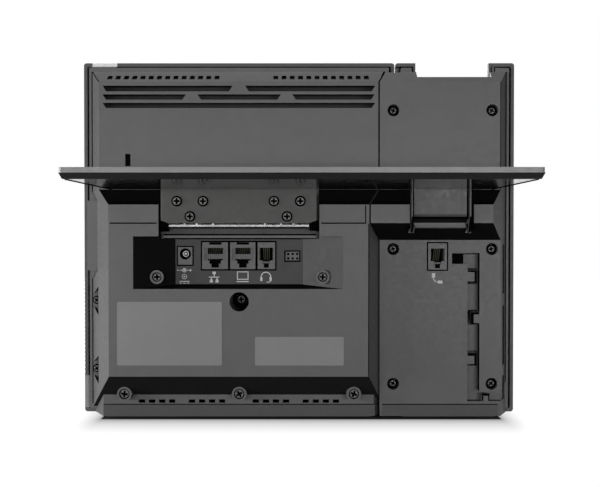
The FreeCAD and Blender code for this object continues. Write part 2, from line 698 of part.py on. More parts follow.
def cord_channel(grow):
    """Slot down the module's back that leads the handset cord away to the side."""
    low, high = CHANNEL_Z
    depth = (CHANNEL_FLOOR_Y - grow, PANEL_Y + 1)
    down = box(spread(CHANNEL_X, grow), depth, (low - grow, high + grow))
    across = box((CHANNEL_X[1] - 1, -87.0 + grow), depth, (87.0 - grow, high + grow))
    out = box((-125.0, CHANNEL_X[0] + 1), depth, (low - grow, 14.8 + grow))
    return fuse([down, across, out])


def cord_tabs():
    """Tabs that keep the cord in its channel, and the windows in the floor behind them."""
    left, right = CHANNEL_X
    reach = 5.0
    tab_y = (PANEL_Y - 1.5, PANEL_Y)
    window_y = (CHANNEL_FLOOR_Y - 2, CHANNEL_FLOOR_Y + 1)
    tabs = []
    windows = []
    for (x0, x1), z in (((right - reach, right), (76.2, 83.6)), ((left, left + reach), (52.7, 59.8)),
                        ((right - reach, right), (29.2, 36.6))):
        tabs.append(box((x0, x1), tab_y, z))
        windows.append(box(spread(CHANNEL_X, -0.6), window_y, spread(z, 0.8)))
    tabs.append(box((-108.3, -103.8), tab_y, (CHANNEL_Z[0], 13.3)))
    windows.append(box((-93.6, -87.6), window_y, (87.6, 92.8)))
    return tabs, windows


def arm_notch(grow):
    """Clearance for the stand's side arm: a notch with a sloped floor and two ear slots."""
    floor = [(10.0, SLOPE_TOP + 6), (10.0, 110.3), (27.0, 101.4), (27.0, SLOPE_TOP + 6)]
    forms = [prism(floor, "x", NOTCH_X[0] - grow, NOTCH_X[1] + grow, grow)]
    ear = 3.4
    for low, high in ((NOTCH_X[0], NOTCH_X[0] + ear), (NOTCH_X[1] - ear, NOTCH_X[1])):
        forms.append(rod("x", (HINGE_Y, HINGE_Z), 5.9 + grow, low - grow, high + grow))
        forms.append(box((low - grow, high + grow), (HINGE_Y, 30), (HINGE_Z - 8.6 - grow, HINGE_Z + 8)))
    return fuse(forms)


def module_notch(grow):
    """Cut in the module's top edge, where the handset's ear end stands."""
    half = EAR_HALF + CUP_GAP + grow
    return box((HANDSET_X - half, HANDSET_X + half), (FRONT_Y - 1, PLATEAU_Y), (NOTCH_Z - grow, TOP_Z + 1))


def module_rear_housing():
    """Back shell of the handset module."""
    outer, inner = rim_ring(MODULE_LEFT, MODULE_RIGHT)
    form = fuse([raised_form(MODULE_SIDE + BAND_SIDE, module_plan(BAND_FRONT_Y)), outer])
    cutters = [cord_channel(0), arm_notch(0), module_notch(0)]
    walls = [cord_channel(1.2), arm_notch(1.5), module_notch(1.5)]
    for x, z in MODULE_SCREWS:
        cutter, wall = screw_well(x, z, SCREW_SEAT_Y, 3.4, PANEL_Y + 1, screw_foot(x, z))
        cutters.append(cutter)
        walls.append(wall)
    shell = cut(form, [inner, hollow_form(MODULE_SIDE, module_plan)])
    inside = form.common(box((MODULE_LEFT, MAIN_RIGHT), (FRONT_Y, PLATEAU_Y), (0, TOP_Z)))
    feet = [box((x - 2.2, x + 2.2), (SHELF_Y, SCREW_SEAT_Y), (z - 2.2, z + 2.2)) for x, z in MODULE_SCREWS
            if x > MODULE_RIGHT]
    shell = fuse([shell, fuse(walls).common(inside)] + feet)
    # Room for the front piece: its cups and the walls of its notch
    room = CUP_WALL + 0.3
    cups = fuse(cup_forms(room))
    before_shelf = box((MODULE_LEFT, MODULE_RIGHT), (FRONT_Y - 5, SHELF_Y), (0, TOP_Z))
    notch_room = module_notch(room).common(before_shelf)
    tabs, windows = cord_tabs()
    shell = fuse([cut(shell, cutters + [cups, notch_room] + windows)] + tabs)
    jack_x = spread((HANDSET_JACK_X, HANDSET_JACK_X), HANDSET_JACK_WIDTH / 2 + FIT)
    jack_hole = box(jack_x, (0, PANEL_Y + 1), spread(HANDSET_JACK_Z, FIT))
    pin_holes = [rod("x", (HINGE_Y, HINGE_Z), ROD_R + 0.02, low, high)
                 for low, high in ((NOTCH_X[0] - 1.4, NOTCH_X[0]), (NOTCH_X[1], NOTCH_X[1] + 1.4))]
    side_slots = [box((-118.2, -116.3), (SHELF_Y, 5), span) for span in
                  ((69.8, 98.0), (28.9, 63.0), (9.0, 22.7))]
    lines = foot_groove(MODULE_SLOPE[0] - 0.6, [(18.0, CHAMFER_TOP)])
    return keep_solid(cut(shell, [jack_hole] + pin_holes + side_slots + lines))


SCREW_SEAT_Y = 1.6


def screw_foot(x, z):
    """Depth at which a module screw leaves the back shell: at a cup's floor, a post or an ear."""
    if x > MODULE_RIGHT:
        return SHELF_Y
    behind_cup = z > EAR_CUP_Z or z < MOUTH_CUP_Z[1]
    return 0.0 if behind_cup else SHELF_Y - SHELF_WALL


def screw_tip(x, z):
    """Depth of a module screw's tip."""
    reach = 2.6
    return screw_foot(x, z) - reach


def cup_forms(grow):
    """The two wells of the cradle, for the ear end and the mouth end of the handset."""
    half = EAR_HALF + CUP_GAP + grow
    x = (HANDSET_X - half, HANDSET_X + half)
    deep = (FRONT_Y - 1 + grow, CUP_FLOOR_Y + grow)
    top = TOP_Z + 1 if not grow else NOTCH_Z
    return [box(x, deep, (EAR_CUP_Z - grow, top)), box(x, deep, spread(MOUTH_CUP_Z, grow))]


HOOK_Z = 163.0
HOOK_HALF = 5.0
PLUNGER_AT = (HANDSET_X, 186.0)


def module_front():
    """Front of the handset module: a frame with the cradle's two wells."""
    x = (MODULE_LEFT, MODULE_RIGHT)
    z = (PAD, TOP_Z)
    frame = round_edges(box(x, (FRONT_Y, RIM_Y), z), 1.6, "y")
    front_edges = [edge for edge in frame.Edges if edge.BoundBox.YMax < FRONT_Y + 0.01]
    frame = frame.makeChamfer(0.6, front_edges)
    frame = frame.cut(box(spread(x, -RIM), (FRONT_BACK_Y, RIM_Y), spread(z, -RIM)))
    walls = [form.common(box(x, (FRONT_Y, 0), (PAD, NOTCH_Z))) for form in cup_forms(CUP_WALL)]
    notch_walls = module_notch(CUP_WALL).common(box(x, (FRONT_Y, RIM_Y), (PAD, TOP_Z - RIM)))
    posts = [post(px, pz, 2.5, MODULE_BOARD_Y[0]) for px in (-102.0, -66.0) for pz in (64.0, 138.0)]
    for px, pz in MODULE_SCREWS:
        if px < MODULE_RIGHT:
            floor = FRONT_BACK_Y if screw_foot(px, pz) < SHELF_Y else CUP_FLOOR_Y + CUP_WALL - 0.5
            posts.append(box((px - 2.0, px + 3.2), (floor, screw_foot(px, pz)), (pz - 2.7, pz + 2.7)))
    frame = fuse([frame, notch_walls] + walls + posts)
    hook_slot = box((HANDSET_X - HOOK_HALF, HANDSET_X + HOOK_HALF), (-8, 0), (HOOK_Z - 1.6, HOOK_Z + 1.6))
    tools = cup_forms(0) + [module_notch(0), hook_slot, rod("y", PLUNGER_AT, 2.5 + 0.3, -8, 0)]
    cord_x = spread((HANDSET_X, HANDSET_X), 6.5)
    tools.append(box(cord_x, (FRONT_Y - 1, CUP_FLOOR_Y), (0, MOUTH_CUP_Z[0] + 1)))
    tools += [rod("y", (px, pz), SHANK_R + 0.02, screw_tip(px, pz) - 0.2, 0) for px, pz in MODULE_SCREWS]
    return keep_solid(cut(frame, tools))


def cradle_hook():
    """Tongue that catches the ear end; it leans the way the handset is lifted."""
    reach = 5.0
    rise = reach * LIFT_SLOPE
    floor_back = CUP_FLOOR_Y + CUP_WALL
    end = CUP_FLOOR_Y - reach
    under, over = HOOK_Z - 1.5, HOOK_Z + 1.5
    points = [(floor_back, under), (CUP_FLOOR_Y, under), (end, under + rise), (end, over - 0.5 + rise),
              (CUP_FLOOR_Y, over), (floor_back, over)]
    half = HOOK_HALF - FIT
    tongue = prism(points, "x", HANDSET_X - half, HANDSET_X + half)
    foot_x = spread((HANDSET_X, HANDSET_X), half + 3)
    foot = box(foot_x, (floor_back, floor_back + 1.2), (HOOK_Z - 4, HOOK_Z + 4))
    return fuse([tongue, foot])


def hook_plunger():
    """Plunger of the hook switch, pressed in while the handset is on the cradle."""
    stem = rod("y", PLUNGER_AT, 2.5, -4.8, -0.7)
    tip = [edge for edge in stem.Edges if edge.BoundBox.YMax < -4.79]
    return fuse([stem.makeChamfer(0.6, tip), rod("y", PLUNGER_AT, 3.6, -0.7, 0.1)])


def hook_switch():
    """Low switch behind the plunger, on the inside of the back shell."""
    x, z = PLUNGER_AT
    body = box((x - 4, x + 4), (0.9, PANEL_Y - WALL), (z - 6, z + 2))
    return fuse([body, rod("y", (x, z - 1.5), 1.5, 0.45, 0.9)])


def module_board():
    """Board behind the middle of the cradle; it carries the handset jack."""
    return box((-105.5, -63.5), MODULE_BOARD_Y, (61.0, 141.0))


def module_screws():
    """The six screws of the module; the inner three hold it to the main unit."""
    return Part.makeCompound([screw(x, z, SCREW_SEAT_Y, screw_tip(x, z)) for x, z in MODULE_SCREWS])


def arm_pins():
    """Two short pins that the stand's side arm turns on."""
    return Part.makeCompound([rod("x", (HINGE_Y, HINGE_Z), ROD_R, low, high) for low, high in
                              ((NOTCH_X[0] - 1.3, ARM_X[0] + ARM_FLANGE + 0.3),
                               (ARM_X[1] - ARM_FLANGE - 0.3, NOTCH_X[1] + 1.3))])


def module_foot_pad():
    """Rubber pad under the handset module."""
    return round_edges(box((-112.0, -58.5), (FRONT_Y + 1.0, BAND_FOOT_Y - 0.2), (0, PAD)), 1.5, "z")


# Stand

def hinge_base():
    """Stepped bar fixed in the hinge pocket, with a bearing at each end for the rod."""
    x = spread(POCKET_X, -FIT)
    back, upper, lower = 11.0, 12.5, 13.0
    points = [(PANEL_Y, POCKET_BOTTOM), (back, POCKET_BOTTOM), (back, 104.1), (upper, 104.1), (upper, 107.0),
              (7.0, 107.0), (7.0, 126.0), (PANEL_Y, 126.0)]
    bars = [prism(points, "x", *x), box((-6.7, 74.9), (back, lower), (POCKET_BOTTOM, 103.2))]
    bearings = []
    for low, high in ((72.2, x[1]), (x[0], -9.4)):
        bearings.append(rod("x", (HINGE_Y, HINGE_Z), 3.0, low, high))
        bearings.append(box((low, high), (7.0, HINGE_Y), (HINGE_Z - 2.2, HINGE_Z + 2.2)))
    seam = 0.25
    seams = [box((at - seam, at + seam), (upper - 0.5, lower), (103.5, 107.5)) for at in (47.6, 19.7)]
    seams.append(box(x, (upper - 0.3, lower), (105.35, 105.65)))
    bore = rod("x", (HINGE_Y, HINGE_Z), ROD_R + RUN, x[0] - 1, x[1] + 1)
    return cut(fuse(bars + bearings), seams + [bore])


def friction_washers():
    """Stack of washers that holds the stand at any angle."""
    thick, gap = 1.0, 0.2
    stack = []
    for index in range(3):
        low = -9.35 + index * (thick + gap)
        ring = rod("x", (HINGE_Y, HINGE_Z), 2.6, low, low + thick)
        stack.append(ring.cut(rod("x", (HINGE_Y, HINGE_Z), ROD_R + RUN, low - 1, low + 2)))
    return Part.makeCompound(stack)


def hinge_rod():
    """Steel rod that the stand turns with."""
    return rod("x", (HINGE_Y, HINGE_Z), ROD_R, POCKET_X[0] + 0.5, POCKET_X[1] - 0.5)


BRACKET_SCREWS = [(67.0, 122.1), (52.6, 122.1), (13.7, 122.1), (-0.8, 122.1), (59.8, 113.7), (6.5, 113.7)]


def hinge_leaf():
    """Steel leaf behind the bracket, folded at the foot to meet the rod."""
    lip = 3.6
    upright = box(LEAF_X, (BRACKET_Y[0] - 1.5, BRACKET_Y[0]), (HINGE_Z - 0.75, 126.5))
    foot = box(LEAF_X, (HINGE_Y, HINGE_Y + lip), (HINGE_Z - 0.75, HINGE_Z + 0.75))
    tabs = [box((x - 0.5, x + 0.5), (BRACKET_Y[0], BRACKET_Y[0] + 1.4), (HINGE_Z, BRACKET_BOTTOM))
            for x in (62.9, 56.2, 47.2, 18.7, 9.8, 3.0)]
    tabs = [tab.common(box(LEAF_X, (0, HINGE_Y + lip), (0, TOP_Z))) for tab in tabs]
    holes = [rod("y", spot, SHANK_R, 10, 30) for spot in BRACKET_SCREWS]
    return cut(fuse([upright, foot] + tabs), holes + [rod("x", (HINGE_Y, HINGE_Z), ROD_R, -20, 90)])


def hinge_bracket():
    """Cover plate of the hinge; its upper flange lies between the two skins of the stand."""
    x = BRACKET_X
    corner = (4.0, 1.4)
    top = PLATE_Z[0] + SKIN * 2
    points = [(x[0], BRACKET_BOTTOM + corner[1]), (x[0] + corner[0], BRACKET_BOTTOM),
              (x[1] - corner[0], BRACKET_BOTTOM), (x[1], BRACKET_BOTTOM + corner[1]),
              (x[1], top), (x[0], top)]
    upright = prism(points, "y", *BRACKET_Y)
    flange = box(x, (BRACKET_Y[0], 45.0), (PLATE_Z[0] + SKIN, PLATE_Z[0] + SKIN * 2))
    return cut(fuse([upright, flange]), [rod("y", spot, SHANK_R, 10, 30) for spot in BRACKET_SCREWS])


def bracket_screws():
    """Six screws of the hinge bracket."""
    head_r, head_t, tip = 2.95, 0.9, BRACKET_Y[0] - 2.2
    return Part.makeCompound([screw(x, z, BRACKET_Y[1], tip, head_r, head_t) for x, z in BRACKET_SCREWS])


def stand_cavity():
    """Space between the two skins of the stand plate, and the mouths for bracket and arm."""
    z = (PLATE_Z[0] + SKIN, PLATE_Z[0] + SKIN * 2)
    inner = box(spread(PLATE_X, -3.0), (PLATE_Y[0] + 3.0, STRIP_START - 2.0), z)
    mouths = [box(BRACKET_X, (PLATE_Y[0], 46.0), z), box(ARM_X, (PLATE_Y[0], 46.0), z)]
    return fuse([inner] + mouths)


def edge_strip_form():
    """Soft strip along the free edge, bevelled where it meets the desk."""
    y, z = PLATE_Y[1], PLATE_Z[0]
    top = z + STRIP_BEVEL[1]
    points = [(STRIP_START, z), (y - STRIP_BEVEL[0], z), (y, top), (STRIP_START, top)]
    return prism(points, "x", *PLATE_X)


def stand_plate():
    """Upper skin of the stand, a shallow tray with ribs."""
    tray = box(PLATE_X, PLATE_Y, (PLATE_Z[0] + SKIN, PLATE_Z[1]))
    tray = round_edges(tray, 1.5, "z")
    strip_room = box(PLATE_X, (STRIP_START, PLATE_Y[1]), (0, PLATE_Z[0] + STRIP_BEVEL[1]))
    tray = cut(tray, [stand_cavity(), strip_room])
    z = (PLATE_Z[0] + SKIN, PLATE_Z[0] + SKIN * 2)
    rib_places = (-80.0, -50.0, -20.0, 10.0, 40.0, 70.0)
    ribs = [box((x - 0.8, x + 0.8), (50.0, STRIP_START - 2.0), z) for x in rib_places]
    ribs.append(box(spread(PLATE_X, -3.0), (79.2, 80.8), z))
    return fuse([tray] + ribs)


def stand_cover():
    """Lower skin of the stand, smooth and glossy."""
    sheet = box(spread(PLATE_X, -0.8), (PLATE_Y[0], STRIP_START), (PLATE_Z[0], PLATE_Z[0] + SKIN))
    mouths = [box(spread(BRACKET_X, 0), BRACKET_Y, (0, TOP_Z)), box(ARM_X, BRACKET_Y, (0, TOP_Z))]
    return cut(sheet, mouths)


def side_arm():
    """Channel-shaped arm at the far side of the stand, with an ear at each edge for its pin."""
    web_x = spread(ARM_X, -ARM_FLANGE)
    web = box(web_x, BRACKET_Y, (ARM_BOTTOM + 2, PLATE_Z[0] + SKIN * 2))
    toe = rod("x", (BRACKET_Y[0] - 1.0, ARM_BOTTOM + 2), 3.0, *web_x).common(
        box(web_x, (BRACKET_Y[0] - 1, 30), (ARM_BOTTOM - 2, ARM_BOTTOM + 2)))
    toe = toe.cut(rod("x", (BRACKET_Y[0] - 1.0, ARM_BOTTOM + 2), 1.0, *web_x))
    flange = box(web_x, (BRACKET_Y[0], 45.0), (PLATE_Z[0] + SKIN, PLATE_Z[0] + SKIN * 2))
    pieces = [web, toe, flange]
    ear_r = 3.6
    side = [(ARM_FLANGE_Y[0], PLATE_Z[0]), (ARM_FLANGE_Y[0], 113.0), (HINGE_Y - ear_r, HINGE_Z),
            (HINGE_Y, HINGE_Z - ear_r), (HINGE_Y + ear_r, HINGE_Z), (ARM_FLANGE_Y[1], 113.6),
            (ARM_FLANGE_Y[1], PLATE_Z[0])]
    for low in (ARM_X[0], ARM_X[1] - ARM_FLANGE):
        pieces.append(prism(side, "x", low, low + ARM_FLANGE))
        pieces.append(rod("x", (HINGE_Y, HINGE_Z), ear_r, low, low + ARM_FLANGE))
    return cut(fuse(pieces), [rod("x", (HINGE_Y, HINGE_Z), ROD_R + RUN, ARM_X[0] - 1, ARM_X[1] + 1)])


# Handset

def handset_form(inset):
    """The handset's form: a side view with a crowned outer face and a hollow behind the grip."""
    low, high = HANDSET_Z[0] + inset, HANDSET_Z[1] - inset
    mid = (HANDSET_Z[0] + HANDSET_Z[1]) / 2
    inner, grip = HANDSET_IN_Y - inset, GRIP_IN_Y - inset
    out, crown = HANDSET_OUT_Y + inset, HANDSET_CROWN_Y + inset
    x0, x1 = HANDSET_X - EAR_HALF + inset, HANDSET_X + EAR_HALF - inset
    end, rise, corner = 47.0, 13.0, 6.0
    points = [(out, low + corner), (out + corner, low), (inner, low), (inner, HANDSET_Z[0] + end - rise),
              (grip, HANDSET_Z[0] + end), (grip, HANDSET_Z[1] - end), (inner, HANDSET_Z[1] - end + rise),
              (inner, high), (out + corner, high), (out, high - corner)]
    corners = [V(x0, y, z) for y, z in points]
    edges = [Part.makeLine(a, b) for a, b in zip(corners, corners[1:])]
    edges.append(Part.Arc(corners[-1], V(x0, crown, mid), corners[0]).toShape())
    form = Part.Face(Part.Wire(edges)).extrude(V(x1 - x0, 0, 0))
    if inset:
        return form
    outer_edges = [edge for edge in form.Edges if edge.BoundBox.YMax < HANDSET_OUT_Y + corner + 0.01]
    return form.makeFillet(3.0, outer_edges)


def parting_form():
    """Space behind the handset's parting line."""
    low, high = HANDSET_Z
    points = [(-17.0, low - 5), (-17.0, low + 34), (-29.0, low + 58), (-29.0, high - 58), (-17.0, high - 34),
              (-17.0, high + 5), (5.0, high + 5), (5.0, low - 5)]
    return prism(points, "x", HANDSET_X - 40, HANDSET_X + 40)


def handset_halves():
    """Outer shell and inner cover of the handset."""
    shell = handset_form(0).cut(handset_form(HANDSET_WALL))
    behind = parting_form()
    outer = keep_solid(shell.cut(behind))
    cover = shell.common(behind)
    x = HANDSET_X
    tools = [box((x + 4.2 * i - 1, x + 4.2 * i + 1), (-9, 0), (EAR_Z + 4.2 * j - 1, EAR_Z + 4.2 * j + 1))
             for i in (-1, 0, 1) for j in (-1, 0, 1)]
    tools += [box((x - 6 + 4 * i, x - 4.4 + 4 * i), (-9, 0), (24.0, 31.0)) for i in range(4)]
    tools.append(box((x - 6.2, x + 6.2), (-9, 0), (HOOK_Z - 3.2, HOOK_Z + 5.2)))
    tools.append(box((x - 5.35, x + 5.35), (-15.1, -6.9), (0, 12)))
    return outer, keep_solid(cut(cover, tools))


def receiver_capsule():
    """Ear capsule behind the handset's sound holes."""
    inner = HANDSET_IN_Y - HANDSET_WALL
    rim = rod("y", (HANDSET_X, EAR_Z), 9.0, inner - 4.0, inner)
    return fuse([rim, rod("y", (HANDSET_X, EAR_Z), 7.0, inner - 6.5, inner - 4.0)])


def handset_microphone():
    """Microphone capsule in the mouth end."""
    inner = HANDSET_IN_Y - HANDSET_WALL
    return rod("y", (HANDSET_X, 27.5), 4.8, inner - 4.5, inner)


def handset_weight():
    """Steel bar in the grip, which gives the handset its heft."""
    y = GRIP_IN_Y - HANDSET_WALL
    return round_edges(box((HANDSET_X - 10, HANDSET_X + 10), (y - 7, y), (60.0, 140.0)), 1.0, "z")


def handset_socket():
    """Cord socket in the lower end of the handset."""
    x = HANDSET_X
    z = HANDSET_Z[0]
    body = box((x - 5.25, x + 5.25), (-15.0, -7.0), (z, z + 12.5))
    return body.cut(box((x - 3.95, x + 3.95), (-13.6, -8.4), (z - 1, z + 9.5)))


def pieces():
    """Every piece of the telephone under its own name."""
    shell, cover = handset_halves()
    named = {
        "front_bezel": front_bezel(), "display_glass": display_glass(), "lcd_module": lcd_module(),
        "lcd_tray": lcd_tray(), "message_light": message_light(), "speaker_grille": speaker_grille(),
        "loudspeaker": loudspeaker(), "key_mat": key_mat(), "main_board": main_board(),
        "main_rear_housing": main_rear_housing(), "jack_panel": jack_panel(), "power_jack": power_jack(),
        "power_pin": power_pin(), "lan_jack": lan_jack(LAN_X[0]), "pc_jack": lan_jack(LAN_X[1]),
        "headset_jack": headset_jack(), "jack_contacts": jack_contacts(), "console_header": console_header(),
        "header_pins": header_pins(), "usb_ports": usb_ports(), "usb_tongues": usb_tongues(),
        "case_screws": case_screws(), "main_foot_pad": main_foot_pad(), "hinge_base": hinge_base(),
        "friction_washers": friction_washers(), "module_front": module_front(),
        "module_rear_housing": module_rear_housing(), "module_board": module_board(),
        "handset_jack": handset_jack(), "module_screws": module_screws(), "cradle_hook": cradle_hook(),
        "hook_switch": hook_switch(), "arm_pins": arm_pins(), "module_foot_pad": module_foot_pad(),
        "hook_plunger": hook_plunger(), "stand_plate": stand_plate(), "stand_cover": stand_cover(),
        "stand_edge_strip": edge_strip_form(), "hinge_bracket": hinge_bracket(), "hinge_leaf": hinge_leaf(),
        "hinge_rod": hinge_rod(), "bracket_screws": bracket_screws(), "side_arm": side_arm(),
        "handset_shell": shell, "handset_cover": cover, "receiver_capsule": receiver_capsule(),
        "handset_microphone": handset_microphone(), "handset_weight": handset_weight(),
        "handset_socket": handset_socket(),
    }
    for name, (x, z) in KEY_ROWS.items():
        named[name] = key(x, z)
    return named


os.makedirs("parts", exist_ok=True)
for name, shape in pieces().items():
    if not shape.isValid():
        raise ValueError(name + " isn't a valid solid")
    shape.exportStep("parts/" + name + ".step")
    print(name, len(shape.Solids), round(shape.Volume))
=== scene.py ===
import json
import math

import bmesh
import bpy
from bpy.props import FloatProperty, FloatVectorProperty, PointerProperty
from mathutils import Matrix, Vector

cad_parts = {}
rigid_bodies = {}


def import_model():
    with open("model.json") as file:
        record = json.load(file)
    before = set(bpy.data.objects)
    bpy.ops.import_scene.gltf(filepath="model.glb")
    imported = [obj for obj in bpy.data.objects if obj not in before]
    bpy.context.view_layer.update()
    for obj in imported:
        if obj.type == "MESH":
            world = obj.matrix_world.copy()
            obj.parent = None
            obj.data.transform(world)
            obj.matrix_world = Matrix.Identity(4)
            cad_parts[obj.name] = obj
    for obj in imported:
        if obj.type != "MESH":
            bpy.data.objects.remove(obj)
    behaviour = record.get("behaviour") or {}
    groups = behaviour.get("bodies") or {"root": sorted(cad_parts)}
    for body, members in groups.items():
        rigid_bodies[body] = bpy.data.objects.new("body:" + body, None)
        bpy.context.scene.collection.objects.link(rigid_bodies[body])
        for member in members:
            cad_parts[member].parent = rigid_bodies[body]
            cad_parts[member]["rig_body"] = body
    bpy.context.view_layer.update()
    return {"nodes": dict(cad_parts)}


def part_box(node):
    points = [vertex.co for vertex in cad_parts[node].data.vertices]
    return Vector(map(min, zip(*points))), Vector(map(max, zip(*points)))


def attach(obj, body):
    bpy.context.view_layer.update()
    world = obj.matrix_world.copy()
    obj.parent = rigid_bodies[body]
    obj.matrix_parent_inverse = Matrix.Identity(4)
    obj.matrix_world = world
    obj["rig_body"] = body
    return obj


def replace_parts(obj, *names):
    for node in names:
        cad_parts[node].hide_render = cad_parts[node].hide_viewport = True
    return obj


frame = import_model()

bl_info = {
    "name": "Desk telephone finishes",
    "version": (1, 0, 0),
    "blender": (4, 5, 0),
    "location": "View3D > Sidebar > Telephone",
    "description": "Finishes, small parts and a studio for an upright desk telephone",
    "category": "Object",
}

MM = 0.001
NODES = frame["nodes"]

# Studio, in metres and watts

# Lights: name, place, width and height, and power
LIGHTS = (
    ("camera_light", (0.0, 1.35, 0.08), (1.4, 0.14), 7.0),
    ("left_light", (0.6, 1.20, 0.08), (0.6, 0.14), 2.8),
    ("right_light", (-0.6, 1.20, 0.08), (0.6, 0.14), 5.0),
    ("left_side_light", (1.3, 0.15, 0.20), (0.5, 0.36), 14.0),
    ("right_side_light", (-1.3, 0.15, 0.20), (0.5, 0.36), 3.0),
    ("low_left_light", (1.1, 0.50, 0.12), (0.5, 0.22), 9.0),
    ("top_light", (0.1, 0.25, 1.3), (0.6, 0.6), 14.0),
    ("front_light", (0.25, -1.30, 0.65), (0.9, 0.9), 16.0),
)
LIGHT_AIM = (0.0, 0.0, 0.10)
# Camera: sensor width in millimetres, focal length in picture points, and slope of its line of sight to
# the side and down
SENSOR = 36.0
FOCAL_POINTS = 889.0
SIGHT_SIDE = 1.0 / FOCAL_POINTS
SIGHT_DOWN = 13.0 / FOCAL_POINTS
# Floor: half width, grey for the light that it throws back, and grey under the white that the camera sees
FLOOR_REACH = 6.0
FLOOR_GREY = 0.05
SEEN_GREY = 0.03
# Middle and half size of the phone's footprint on the floor
FOOT_CENTRE = (-0.0012, -0.0025, 0.0)
FOOT_HALF = (0.1115, 0.0105, 0.0)
# The painted shade round the footprint: how much faster it fades to the sides, where it starts and ends, its curve
SIDE_FADE = (3.0, 1.0, 1.0)
SHADE_REACH = (0.003, 0.040)
SHADE_CURVE = 0.33
# Depths between which the white floor fades out of the phone's reflections
MIRROR_FADE = (-0.02, 0.02)


def body_of(node):
    """Name of the moving body that a CAD node rides on."""
    return NODES[node]["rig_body"]


# Settings shown in the sidebar


def colour_setting(name, value, about):
    """A colour that the user can change, given as one grey or as three parts."""
    parts = (value,) * 3 if isinstance(value, float) else value
    return FloatVectorProperty(name=name, description=about, subtype="COLOR", size=3, min=0.0, max=1.0,
                               default=parts)


def length_setting(name, millimetres, about):
    """A length that the user can change."""
    return FloatProperty(name=name, description=about, subtype="DISTANCE", unit="LENGTH",
                         default=millimetres * MM, precision=5)


class PhoneColours(bpy.types.PropertyGroup):
    """Colours of the finishes."""
    case: colour_setting("Case", 0.050, "Moulded grey of the main unit's back shell")
    module: colour_setting("Module case", 0.050, "Moulded grey of the handset module's back shell")
    front: colour_setting("Front", 0.034, "Satin black of the front frames and the handset")
    # Painted shade: a dark grey laid on the main shell's slopes that face down
    shade: colour_setting("Smooth slopes", 0.012, "Darker smooth slopes that face down")
    # Painted shade: a nearly black grey laid on the module's pocket slope and the walls of the socket recess, the
    # hinge pocket and the arm's notch
    deep: colour_setting("Deep slopes", 0.005, "Nearly black smooth slopes and the socket recess")
    # Partly the insert's own grey and partly painted shade: darkened for the shade in the socket recess, and also
    # laid on the recess's right wall
    insert: colour_setting("Socket insert", 0.037, "Insert that frames the sockets, and the hinge bar")
    stand: colour_setting("Stand", 0.115, "Grey of the stand's upper skin")
    gloss: colour_setting("Stand underside", 0.012, "Polished black of the stand's lower skin")
    arm: colour_setting("Arm", 0.042, "Grey of the side arm")
    bracket: colour_setting("Bracket", (0.033, 0.0325, 0.0315), "Painted sheet of the hinge bracket")
    jack: colour_setting("Jack", 0.045, "Moulded grey of the jack bodies")
    band: colour_setting("Foot band", 0.028, "Darker band along the lower edge")
    key: colour_setting("Key", 0.075, "Satin grey of the keys")
    label: colour_setting("Label", 0.115, "Plain paper-like plates on the back")
    mark: colour_setting("Mark", 0.36, "Printed pictograms")
    screw: colour_setting("Screw", 0.075, "Blackened screws")
    lens: colour_setting("Light lens", 0.42, "Frosted lens of the message light")


class PhoneDetails(bpy.types.PropertyGroup):
    """Sizes of the small parts."""
    edge: length_setting("Edge radius", 0.25, "Width of the small bevel on the moulded edges")
    grain: length_setting("Grain", 0.35, "Size of the grain of the moulded plastic")
    label_thick: length_setting("Label thickness", 0.12, "Thickness of the plain plates")
    mark_thick: length_setting("Mark thickness", 0.04, "Thickness of the printed pictograms")
    recess: length_setting("Screw recess depth", 1.1, "Depth of the cross recess in a screw head")


class PhoneStudio(bpy.types.PropertyGroup):
    """Camera and light."""
    lens: FloatProperty(name="Lens", description="Focal length of the camera", subtype="DISTANCE_CAMERA",
                        default=53.34)
    camera: FloatVectorProperty(name="Camera place", description="Where the camera stands", subtype="XYZ",
                                unit="LENGTH", size=3, default=(-0.00116, 0.509, 0.106))
    light: FloatProperty(name="Light", description="Share of the power of every light", default=1.0)
    ambient: FloatProperty(name="Ambient", description="Brightness of the surroundings", default=0.02)


# Materials

# The part of its range that a noise mostly keeps to
NOISE_RANGE = (0.3, 0.7)
# Sizes of the lumps of tone and of roughness, in millimetres, and how far the roughness strays
TONE_LUMPS = 9.0
ROUGH_LUMPS = 2.5
ROUGH_STRAY = 0.05
# Height of the grain as a share of its size, and its detail
GRAIN_HEIGHT = 0.3
GRAIN_DETAIL = 3.0


def add_node(tree, kind, *sources, **values):
    """A new shader node with some of its fields set, whose first inputs come from other nodes."""
    made = tree.nodes.new("ShaderNode" + kind)
    for name, value in values.items():
        setattr(made, name, value)
    for source, socket in zip(sources, made.inputs):
        tree.links.new(source, socket)
    return made


def noise(tree, coords, size_mm, detail=2.0):
    """Noise whose lumps have a given size."""
    texture = add_node(tree, "TexNoise", coords)
    texture.inputs["Scale"].default_value = 1.0 / (size_mm * MM)
    texture.inputs["Detail"].default_value = detail
    return texture.outputs["Fac"]


def carry_over(tree, value, before, after):
    """A value carried over from one range to another."""
    ranged = add_node(tree, "MapRange", value)
    for socket, limit in zip(("From Min", "From Max", "To Min", "To Max"), (*before, *after)):
        ranged.inputs[socket].default_value = limit
    return ranged.outputs["Result"]


def spread_over(tree, value, low, high):
    """A noise carried over to another range."""
    return carry_over(tree, value, NOISE_RANGE, (low, high))


